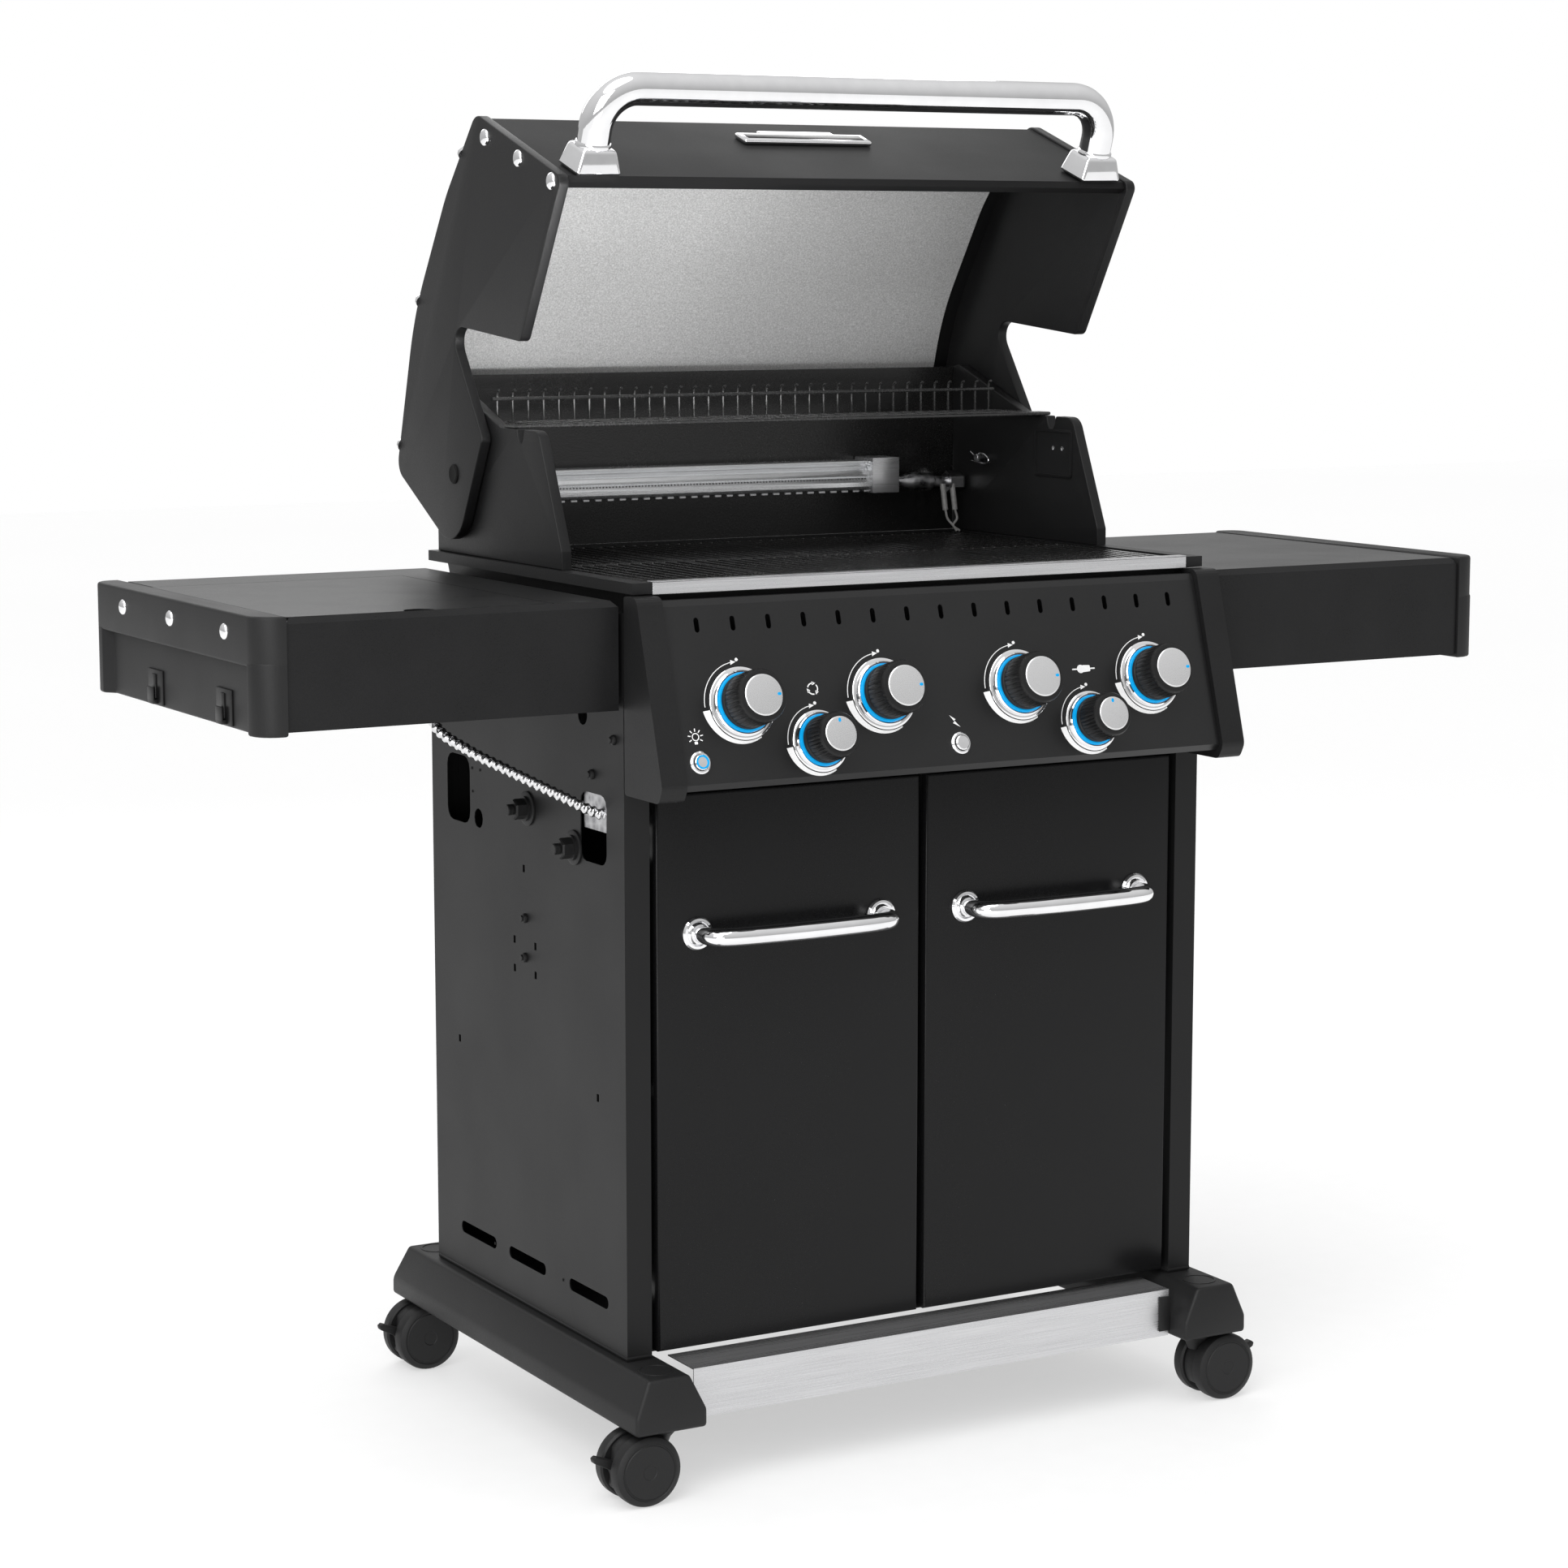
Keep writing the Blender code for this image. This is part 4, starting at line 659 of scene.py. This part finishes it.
def dome(bm, at, axis, r):
    """A rounded screw cap."""
    crown = [(0, 0), (r, 0), (r, 0.0008), (r * 0.9, 0.0024), (r * 0.66, 0.0036), (r * 0.34, 0.0042),
             (0, 0.0044)]
    add_turned(bm, crown, at, axis, 24)


# ---- cooking chamber ----------------------------------------------------------------------------------


def chamber():
    rise = [(-0.0905, 0.7873, 0), (-0.0905, 0.8060, 0.006), (-0.0385, 0.9262, 0.018), (-0.0060, 0.9262, 0.002),
            (-0.0035, 0.9170, 0), (0.0000, 0.9120, 0), (0.0060, 0.9120, 0), (0.0095, 0.9170, 0),
            (0.0120, 0.9262, 0.002),
            (0.0520, 0.9262, 0.004), (0.1960, 0.9790, 0.004), (0.2115, 0.9765, 0), (0.2115, 0.7873, 0)]
    for side, word in SIDES:
        low, high = sorted((side * 0.323, side * 0.335))
        piece("side_wall_" + word, flat([rounded(rise, 8)], low, high, "X", 0.0012, 3), CAST,
              replaces=("firebox_side_" + word,))
        inner = side * WALL_FACE
        edge = sorted((inner, inner - side * 0.0012))
        frame_line = flat([rectangle(-0.040, 0.035, 0.858, 0.912, 0.004),
                           rectangle(-0.0365, 0.0315, 0.8615, 0.9085, 0.003)],
                          *edge, "X", 0.0003)
        piece("wall_boss_" + word, frame_line, CAST)
        bm = bmesh.new()
        for y in (-0.002, -0.020):
            add_turned(bm, [(0, 0), (0.0024, 0), (0.0024, 0.0006), (0, 0.0007)], (inner, y, 0.891),
                       (-side, 0, 0), 16)
        piece("wall_pins_" + word, to_mesh(bm), BRIGHT)
        bm = bmesh.new()
        add_rod(bm, (inner, *PIVOT), (inner - side * 0.013, *PIVOT), 0.0045, 20, 0.0006)
        piece("pivot_pin_" + word, to_mesh(bm), ZINC)
        clip = [(0, 0.016, 0.006), (0, 0.006, 0.002), (0, -0.004, 0.0055), (0, -0.016, 0.003),
                (0, -0.022, -0.002), (0, -0.016, -0.006), (0, 0.014, -0.004)]
        wire = tube(through([(inner - side * 0.0095, PIVOT.x + p[1], PIVOT.y + p[2]) for p in clip], 5), 0.0009,
                    3)
        piece("pivot_clip_" + word, wire, BRIGHT)
    bm = bmesh.new()
    add_box(bm, (-0.3200, -0.2617, 0.7752), (0.3200, -0.2603, 0.7872), 0.0005)
    add_box(bm, (-0.3200, -0.2617, 0.7873), (0.3200, -0.2500, 0.7884), 0.0004)
    piece("rim_strip", to_mesh(bm), STEEL, sharp=0)
    grids()
    rack()
    rotisserie()


def grids():
    clear, width = 0.0004, 0.1605
    for k in range(4):
        x0 = (k - 2) * width + clear
        x1 = x0 + width - 2 * clear
        outlines = [rectangle(x0, x1, -0.2425, 0.2015, 0.005, 3)]
        pitch = (x1 - x0 - 0.007) / 11
        for j in range(11):
            a = x0 + 0.007 + j * pitch
            for v0, v1 in ((-0.2305, -0.026), (-0.015, 0.1895)):
                outlines.append(rectangle(a, a + pitch - 0.0070, v0, v1, 0.0028, 3))
        piece(f"grid_{k + 1}", flat(outlines, 0.7733, 0.7855, "Z", 0.0016, 2), IRON,
              replaces=(f"cooking_grid_{k + 1}",))


def rack():
    """Wire warming rack: a slotted shelf, and a fence of bent wires along its back."""
    half, front, back, low = 0.3215, 0.0200, 0.1150, 0.9265
    rim = [(-half, front), (-0.3335, front), (-0.3335, 0.0440), (-half, 0.0440), (-half, back), (half, back),
           (half, 0.0440), (0.3335, 0.0440), (0.3335, front), (half, front)]
    outlines = [[Vector(p) for p in rim]]
    pitch = 2 * (half - 0.006) / 36
    for k in range(36):
        a = -half + 0.006 + k * pitch
        outlines.append(rectangle(a + 0.0022, a + pitch - 0.0022, front + 0.004, back - 0.008, 0.0020, 2))
    meshes = [flat(outlines, low, low + 0.0038, "Z", 0.0009, 1)]
    for k in range(35):
        x = -half + 0.012 + k * (2 * half - 0.024) / 34
        meshes.append(tube([(x, back - 0.0035, low + 0.002), (x, back - 0.0030, 0.9560),
                            (x, back - 0.0045, 0.9610), (x, back - 0.0085, 0.9630)], 0.0015, 2))
    meshes.append(tube([(-half + 0.006, back - 0.0035, 0.9535), (half - 0.006, back - 0.0035, 0.9535)], 0.0020,
                       3))
    piece("wire_rack", merged(*meshes), WIRE, replaces=("warming_rack",), sharp=40)


def rotisserie():
    """Bright trough with louvred edges, its mounting box, fitting, and the two igniter wires."""
    trough = [(0.2080, 0.8722), (0.1780, 0.8722), (0.1762, 0.8716), (0.1758, 0.8700), (0.1772, 0.8690),
              (0.1800, 0.8655), (0.1762, 0.8608), (0.1720, 0.8580), (0.1700, 0.8548), (0.1716, 0.8536),
              (0.1694, 0.8500),
              (0.1672, 0.8478), (0.1674, 0.8430), (0.1700, 0.8402), (0.1745, 0.8385), (0.2080, 0.8385)]
    piece("rotisserie_trough", flat([[Vector(p) for p in trough]], -0.3200, 0.1880, "X", 0.0003, 1), TROUGH,
          replaces=("rotisserie_burner",), sharp=38)
    # The burner's ports: flat near-black discs on the trough, painted shade standing in for the holes' depth.
    bm = bmesh.new()
    for k in range(124):
        x = -0.316 + k * 0.00404
        add_turned(bm, [(0, 0), (0.0008, 0), (0.0008, 0.0003), (0, 0.0003)], (x, 0.1706, 0.8518),
                   (0, -0.86, 0.5), 8)
    piece("rotisserie_port_shade", to_mesh(bm), DARK_AND_HOLE_SHADE, sharp=0)
    bm = bmesh.new()
    for k in range(34):
        x = -0.312 + k * 0.0150
        add_box(bm, (x, 0.1752, 0.8362), (x + 0.0080, 0.1776, 0.8388), 0.0004, 1)
    piece("rotisserie_louvres", to_mesh(bm), STEEL, sharp=0)
    bm = bmesh.new()
    add_box(bm, (0.1882, 0.1660, 0.8350), (0.2240, 0.2075, 0.8755), 0.0012)
    piece("rotisserie_box", to_mesh(bm), STEEL, sharp=40)
    bm = bmesh.new()
    add_turned(bm, [(0, 0), (0.0040, 0), (0.0050, 0.004), (0.0092, 0.018), (0.0100, 0.022), (0.0100, 0.048),
                    (0.0060, 0.052), (0.0060, 0.070), (0, 0.070)], (0.2300, 0.1860, 0.8470), (1, 0, -0.04), 32)
    piece("rotisserie_fitting", to_mesh(bm), ZINC)
    bm = bmesh.new()
    add_hex(bm, (0.3000, 0.1860, 0.8442), (1, 0, 0), 0.022, 0.020)
    piece("rotisserie_nut", to_mesh(bm), BRIGHT, sharp=20)
    for k, x in enumerate((0.2900, 0.3030)):
        rod = tube([(x, 0.1780, 0.8420), (x + 0.001, 0.1760, 0.8260), (x + 0.002, 0.1745, 0.8120)], 0.0032, 4)
        piece(f"igniter_rod_{k + 1}", rod, CERAMIC)
        lead = tube(through([(x + 0.002, 0.1745, 0.8125), (x + 0.004, 0.1730, 0.8020), (0.3000, 0.1700, 0.7940),
                             (0.3040 + 0.004 * k, 0.1690, 0.7880)], 5), 0.0014, 3)
        piece(f"igniter_lead_{k + 1}", lead, CERAMIC)


# ---- cabinet ------------------------------------------------------------------------------------------


def door_pan(side, word):
    """Folded door with a rounded front edge, and its bow handle."""
    x0, x1 = sorted((side * 0.0040, side * 0.3115))
    y_front, y_back, z0, z1, skin = -0.2500, -0.2320, 0.0050, 0.5740, 0.0012
    rings = [(x0, x1, z0, z1, y_front), (x0, x1, z0, z1, y_back),
             (x0 + skin, x1 - skin, z0 + skin, z1 - skin, y_back),
             (x0 + skin, x1 - skin, z0 + skin, z1 - skin, y_front + skin)]
    bm = bmesh.new()
    add_rings(bm, rings)
    front = [edge for edge in bm.edges if all(abs(v.co.z - y_front) < 1e-6 for v in edge.verts)]
    bmesh.ops.bevel(bm, geom=front, offset=0.0030, segments=4, affect="EDGES", profile=0.5)
    for vert in bm.verts:
        vert.co = (vert.co.x, vert.co.z, vert.co.y)
    body = "door_" + word
    piece("door_skin_" + word, to_mesh(bm), GLOSS, body, replaces=(body,), sharp=50)
    near, far, z = 0.0515, 0.266, 0.432
    face = -0.2503
    bow = [(near, face - 0.002), (near + 0.0005, face - 0.014), (near + 0.003, face - 0.026),
           (near + 0.012, face - 0.0345),
           (near + 0.030, face - 0.0385), (near + 0.060, face - 0.0405), ((near + far) / 2, face - 0.0420),
           (far - 0.060, face - 0.0405), (far - 0.030, face - 0.0385), (far - 0.012, face - 0.0345),
           (far - 0.003, face - 0.026), (far - 0.0005, face - 0.014), (far, face - 0.002)]
    route = through([(side * u, v, z) for u, v in bow], 5)
    radii = [0.90 + 0.10 * math.sin(math.pi * k / (len(route) - 1)) for k in range(len(route))]
    bar = tube(route, 0.0096, 8, radii)
    piece("bow_" + word, bar, CHROME, body, replaces=("door_handle_" + word,), sharp=50)
    bm = bmesh.new()
    for u in (near, far):
        closed_turn(bm, [(0.0085, 0.0), (0.0170, 0.0), (0.0170, 0.0022), (0.0155, 0.0042), (0.0132, 0.0046),
                         (0.0128, 0.0036), (0.0112, 0.0050), (0.0100, 0.0075), (0.0085, 0.0075)],
                    (side * u, face, z), (0, -1, 0), 48)
    piece("bow_roses_" + word, to_mesh(bm), CHROME, body, sharp=30)


def side_fixings():
    """Screws, bolts and brackets on the two side panels."""
    for side, word in SIDES:
        x = side * PANEL_FACE
        out = (side, 0, 0)
        bm = bmesh.new()
        for y, z in ((-0.031, 0.536), (-0.139, 0.510)):
            add_turned(bm, [(0, 0), (0.0180, 0), (0.0180, 0.0016), (0.0165, 0.0022), (0.0130, 0.0022),
                            (0.0130, 0.0050), (0, 0.0050)], (x, y, z), out, 40)
            start = Vector((x, y, z)) + Vector(out) * 0.0050
            add_hex(bm, start, out, 0.0190, 0.0120)
            add_rod(bm, start + Vector(out) * 0.0120, start + Vector(out) * 0.0190, 0.0058, 20, 0.0008)
        piece("side_bolts_" + word, to_mesh(bm), PLASTIC, sharp=25)
        bm = bmesh.new()
        for y, z in ((-0.229, 0.630), (-0.181, 0.590), (-0.023, 0.419), (-0.022, 0.377)):
            dome(bm, (x, y, z), out, 0.0052)
            add_hex(bm, (x + side * 0.0020, y, z), out, 0.0058, 0.0034)
        piece("side_screws_" + word, to_mesh(bm), CAST, sharp=25)
        # Pilot holes: flat near-black discs on the panel, painted shade standing in for the open holes.
        bm = bmesh.new()
        for y, z in ((0.105, 0.562), (0.085, 0.562), (0.104, 0.537), (0.060, 0.050), (-0.105, 0.050)):
            add_turned(bm, [(0, 0), (0.0016, 0), (0.0016, 0.0002), (0, 0.0002)], (x, y, z), out, 14)
        piece("side_pilot_hole_shade_" + word, to_mesh(bm), DARK_AND_HOLE_SHADE, sharp=0)
        bm = bmesh.new()
        inner = side * 0.3440
        low, high = sorted((inner, inner - side * 0.0015))
        add_box(bm, (low, -0.2180, 0.5330), (high, -0.1560, 0.5790), 0.0004, 1)
        piece("line_bracket_" + word, to_mesh(bm), ZINC, sharp=0)


def rear_angles():
    """The folded strips which close the cabinet's two back corners."""
    for side, word in SIDES:
        low, high = sorted((side * 0.3180, side * 0.3456))
        bm = bmesh.new()
        add_box(bm, (low, 0.2030, 0.0210), (high, 0.2042, 0.6000), 0.0004, 1)
        piece("rear_angle_" + word, to_mesh(bm), PAINT, sharp=0)


def stand():
    for side, word in SIDES:
        bm = bmesh.new()
        rings = []
        for a, b, y0, y1, z in ((0.293, 0.373, -0.320, 0.280, -0.056), (0.293, 0.373, -0.320, 0.280, -0.037),
                                (0.311, 0.358, -0.317, 0.268, -0.0003)):
            x0, x1 = sorted((side * a, side * b))
            rings.append((x0, x1, y0, y1, z))
        add_rings(bm, rings)
        soften(bm, 0.0040, 3, 12)
        piece("rail_" + word, to_mesh(bm), PLASTIC, replaces=("foot_rail_" + word,), sharp=40)
        bm = bmesh.new()
        for y in (-0.287, 0.243):
            closed_turn(bm, [(0.0160, 0.0), (0.0182, 0.0), (0.0180, 0.0010), (0.0162, 0.0010)],
                        (side * 0.334, y, -0.0006), (0, 0, 1), 40)
        piece("rail_caps_" + word, to_mesh(bm), PLASTIC)
        low, high = sorted((side * 0.3185, side * 0.3480))
        bm = bmesh.new()
        add_box(bm, (low, -0.2508, 0.0006), (high, 0.2070, 0.0052), 0.0018)
        piece("panel_foot_" + word, to_mesh(bm), PAINT)
        for y, end in ((-0.287, "front"), (0.243, "rear")):
            caster(side, y, f"caster_{end}_{word}")
    bm = bmesh.new()
    add_box(bm, (0.2790, -0.2915, -0.0500), (0.2925, -0.2894, -0.0120), 0.0005)
    piece("trim_clip", to_mesh(bm), PLASTIC, sharp=40)


def caster(side, y, name):
    """Twin wheels with turned faces, hood with a slotted band, and the brake lever."""
    hub = Vector((side * 0.355, y, -0.0955))
    for turn, word in ((-1, "a"), (1, "b")):
        bm = bmesh.new()
        r, near, far = 0.0365, 0.0092, 0.0270
        add_turned(bm, [(0, near), (0.030, near), (0.0345, near), (r, near + 0.0022), (r, far - 0.0060),
                        (r - 0.0010, far - 0.0030), (r - 0.0040, far - 0.0008), (0.0300, far),
                        (0.0292, far - 0.0008),
                        (0.0280, far - 0.0008), (0.0272, far), (0.0080, far), (0.0072, far - 0.0006),
                        (0, far - 0.0006)], hub, (0, turn, 0), 56)
        swap = (name + "_wheels",) if word == "a" else ()
        piece(f"{name}_wheel_{word}", to_mesh(bm), PLASTIC, name + "_wheels", replaces=swap, sharp=35)
    bm = bmesh.new()
    add_rod(bm, hub - Vector((0, 0.0095, 0)), hub + Vector((0, 0.0095, 0)), 0.0040, 16)
    piece(name + "_axle", to_mesh(bm), ZINC, name + "_wheels")
    outline = []
    for k in range(41):
        angle = math.radians(-35 + 250 * k / 40)
        outline.append(Vector((hub.x + 0.0335 * math.cos(angle), hub.z + 0.0335 * math.sin(angle))))
    outline = [p for p in outline
               if (p.x - hub.x) * side < 0.0158 or p.y > hub.z + 0.0210 or p.y < hub.z - 0.014]
    top = -0.0563
    body_mesh = flat([outline, circle(hub.x, hub.z, 0.0046, 20)], y - 0.0078, y + 0.0078, "Y", 0.0010, 2)
    neck = bmesh.new()
    swivel = Vector((side * 0.330, y, 0))
    add_turned(neck, [(0, top), (0.0150, top), (0.0160, top - 0.0010), (0.0160, top - 0.0060),
                      (0.0110, top - 0.0120), (0.0078, top - 0.0200), (0, top - 0.0200)], swivel, (0, 0, 1), 32)
    add_rod(neck, swivel + Vector((0, 0, top - 0.006)), swivel + Vector((0, 0, -0.0240)), 0.0055, 20)
    piece(name + "_shroud", merged(body_mesh, to_mesh(neck)), PLASTIC, name + "_swivel",
          replaces=(name + "_hood",),
          sharp=35)
    lever = [(0.0215, -0.0100, 0.002), (0.0290, -0.0100, 0.002), (0.0320, 0.0010, 0.002),
             (0.0505, 0.0110, 0.002),
             (0.0515, 0.0150, 0.0015), (0.0480, 0.0175, 0.0015), (0.0300, 0.0105, 0.003),
             (0.0225, 0.0085, 0.002)]
    shape = [(hub.x + side * u, hub.z + v, r) for u, v, r in lever]
    pedal = flat([rounded(shape, 4)], y - 0.0045, y + 0.0045, "Y", 0.0009, 2)
    piece(name + "_pedal", pedal, PLASTIC, name + "_brake", replaces=(name + "_brake",), sharp=35)


# ---- side tables --------------------------------------------------------------------------------------


def end_cap(side, word):
    """Moulded cap: a full block above, and below it the hooks' recess between two rounded columns."""
    ledge, foot, top = 0.7262, 0.6580, 0.7715
    full = [(side * 0.7003, -0.2540, 0), (side * 0.7003, 0.2030, 0), (side * 0.7300, 0.2030, 0.020),
            (side * 0.7300, -0.2540, 0.026)]
    upper = flat([rounded(full, 8)], ledge - 0.0030, top, "Z", 0.0030, 3)
    notched = [(side * 0.7003, -0.2540, 0), (side * 0.7003, 0.2030, 0), (side * 0.7300, 0.2030, 0.020),
               (side * 0.7300, 0.1760, 0.004), (side * 0.7212, 0.1640, 0.003), (side * 0.7212, -0.2140, 0.003),
               (side * 0.7300, -0.2270, 0.004), (side * 0.7300, -0.2540, 0.024)]
    lower = flat([rounded(notched, 6)], foot, ledge + 0.0020, "Z", 0.0026, 3)
    piece("end_cap_" + word, merged(upper, lower), PLASTIC, replaces=("table_end_cap_" + word,), sharp=40)
    bm = bmesh.new()
    for y in (0.109, -0.026, -0.172):
        dome(bm, (side * 0.7298, y, 0.7520), (side, 0, 0), 0.0080)
    piece("end_cap_screws_" + word, to_mesh(bm), CHROME)
    if side > 0:
        return
    face = side * 0.7213
    # A plate, the hook's foot, its upturned end and its rib: near, far, half width, low, high, softening.
    hook = ((-0.0002, 0.0022, 0.0200, 0.6600, 0.6950, 0.0008), (0.0018, 0.0078, 0.0080, 0.6610, 0.6655, 0.0010),
            (0.0056, 0.0080, 0.0080, 0.6640, 0.6780, 0.0008), (0.0018, 0.0040, 0.0045, 0.6660, 0.6910, 0.0008))
    for k, y in enumerate((0.040, -0.148)):
        bm = bmesh.new()
        for near, far, half, low, high, soft in hook:
            x0, x1 = sorted((face + side * near, face + side * far))
            add_box(bm, (x0, y - half, low), (x1, y + half, high), soft)
        piece(f"tool_hook_{k + 1}", to_mesh(bm), GRIP, sharp=40)


def burner_well():
    """The grate and the burner's crown, under the left table's lid."""
    x, y = -0.556, -0.062
    x0, x1, y0, y1 = x - 0.107, x + 0.107, y - 0.127, y + 0.127
    outlines = [rectangle(x0, x1, y0, y1, 0.010)]
    for u0, u1 in ((-0.094, -0.004), (0.004, 0.094)):
        for v0, v1 in ((-0.114, -0.064), (-0.056, -0.004), (0.004, 0.056), (0.064, 0.114)):
            outlines.append(rectangle(x + u0, x + u1, y + v0, y + v1, 0.004))
    piece("pot_grate", flat(outlines, 0.7420, 0.7490, "Z", 0.0014, 2), IRON, replaces=("side_burner_grate",))
    bm = bmesh.new()
    add_turned(bm, [(0, 0), (0.0330, 0), (0.0380, 0.0015), (0.0395, 0.0040), (0.0330, 0.0085), (0.0120, 0.0100),
                    (0, 0.0104)], (x, y, 0.7283), (0, 0, 1), 48)
    piece("burner_crown", to_mesh(bm), BRASS)


GAS_ROUTE = [(-0.3080, -0.2620, 0.6450), (-0.3080, -0.2380, 0.6130), (-0.3110, -0.2190, 0.5800),
             (-0.3230, -0.2060, 0.5560), (-0.3440, -0.1970, 0.5510), (-0.3780, -0.1760, 0.5690),
             (-0.4220, -0.1500, 0.5940), (-0.4550, -0.1250, 0.6140), (-0.4780, -0.0980, 0.6350),
             (-0.4720, -0.0740, 0.6570), (-0.4580, -0.0630, 0.6720), (-0.4560, -0.0620, 0.6840)]


def gas_line():
    """Corrugated tube: its radius rises and falls once every few millimetres along its route."""
    dense = through(GAS_ROUTE, 40)
    lengths = [0.0]
    for a, b in zip(dense, dense[1:]):
        lengths.append(lengths[-1] + (b - a).length)
    pitch, per_rib = 0.0075, 8
    count = int(lengths[-1] / pitch * per_rib)
    points, radii = [], []
    j = 0
    for k in range(count + 1):
        s = lengths[-1] * k / count
        while j < len(lengths) - 2 and lengths[j + 1] < s:
            j += 1
        share = (s - lengths[j]) / max(lengths[j + 1] - lengths[j], 1e-9)
        points.append(dense[j].lerp(dense[j + 1], share))
        radii.append(0.86 + 0.14 * math.cos(2 * math.pi * s / pitch))
    piece("corrugated_line", tube(points, 0.0060, 4, radii), BRIGHT, replaces=("gas_line",), sharp=0)


# ---- studio -------------------------------------------------------------------------------------------


def area_light(name, at, aim, size, power, spread=180):
    light = bpy.data.lights.new(name, "AREA")
    light.shape = "RECTANGLE"
    light.size, light.size_y = size
    light.energy = power
    light.spread = math.radians(spread)
    made = bpy.data.objects.new(name, light)
    made.location = at
    made.rotation_euler = (Vector(aim) - Vector(at)).to_track_quat("-Z", "Y").to_euler()
    bpy.context.scene.collection.objects.link(made)


def studio():
    bm = bmesh.new()
    bmesh.ops.create_grid(bm, x_segments=2, y_segments=2, size=14.0)
    mesh = to_mesh(bm)
    mesh.materials.append(FLOOR)
    floor = bpy.data.objects.new("floor", mesh)
    bpy.context.scene.collection.objects.link(floor)
    world = bpy.data.worlds.new("studio")
    world.use_nodes = True
    sky = world.node_tree.nodes["Background"]
    sky.inputs["Color"].default_value = (1.0, 1.0, 1.0, 1)
    tree = world.node_tree
    up = node(tree, "ShaderNodeSeparateXYZ", {"Vector": node(tree, "ShaderNodeTexCoord").outputs["Generated"]})
    dome_light = node(tree, "ShaderNodeMapRange", {"Value": up.outputs["Z"], "To Min": 0.46, "To Max": 0.80})
    seen = node(tree, "ShaderNodeLightPath").outputs["Is Camera Ray"]
    level = node(tree, "ShaderNodeMapRange", {"Value": seen, "To Min": dome_light.outputs["Result"],
                                              "To Max": 1.0})
    tree.links.new(level.outputs["Result"], sky.inputs["Strength"])
    bpy.context.scene.world = world
    area_light("key", (-2.6, -2.2, 2.6), (0, 0, 0.8), (2.2, 2.2), 60)
    area_light("low", (-1.9, -2.3, 0.5), (0, 0.1, 1.3), (1.4, 0.9), 14)
    area_light("hood_fill", (-0.30, -0.42, 1.00), (-0.22, 0.10, 1.40), (0.5, 0.06), 1.6, spread=85)
    area_light("back", (0.6, 2.8, 2.8), (0, 0, 0.9), (3.0, 1.6), 30)
    sun = bpy.data.lights.new("sun", "SUN")
    sun.energy = 1.1
    sun.angle = math.radians(50)
    holder = bpy.data.objects.new("sun", sun)
    holder.rotation_euler = (math.radians(14), math.radians(-16), 0)
    bpy.context.scene.collection.objects.link(holder)
    camera = bpy.data.cameras.new("camera")
    camera.lens = 84.4
    camera.sensor_width = 36.0
    made = bpy.data.objects.new("camera", camera)
    made.location = (-1.984, -3.442 + DATUM.y, 1.102 + DATUM.z)
    made.rotation_euler = (math.radians(90 - 8.15), 0.0, math.radians(-29.67))
    bpy.context.scene.collection.objects.link(made)
    bpy.context.scene.camera = made
    bpy.context.scene.view_settings.view_transform = "Standard"


studio()
stand()
for side, word in SIDES:
    door_pan(side, word)
side_fixings()
rear_angles()
controls()
chamber()
hood()
for side, word in SIDES:
    end_cap(side, word)
burner_well()
gas_line()
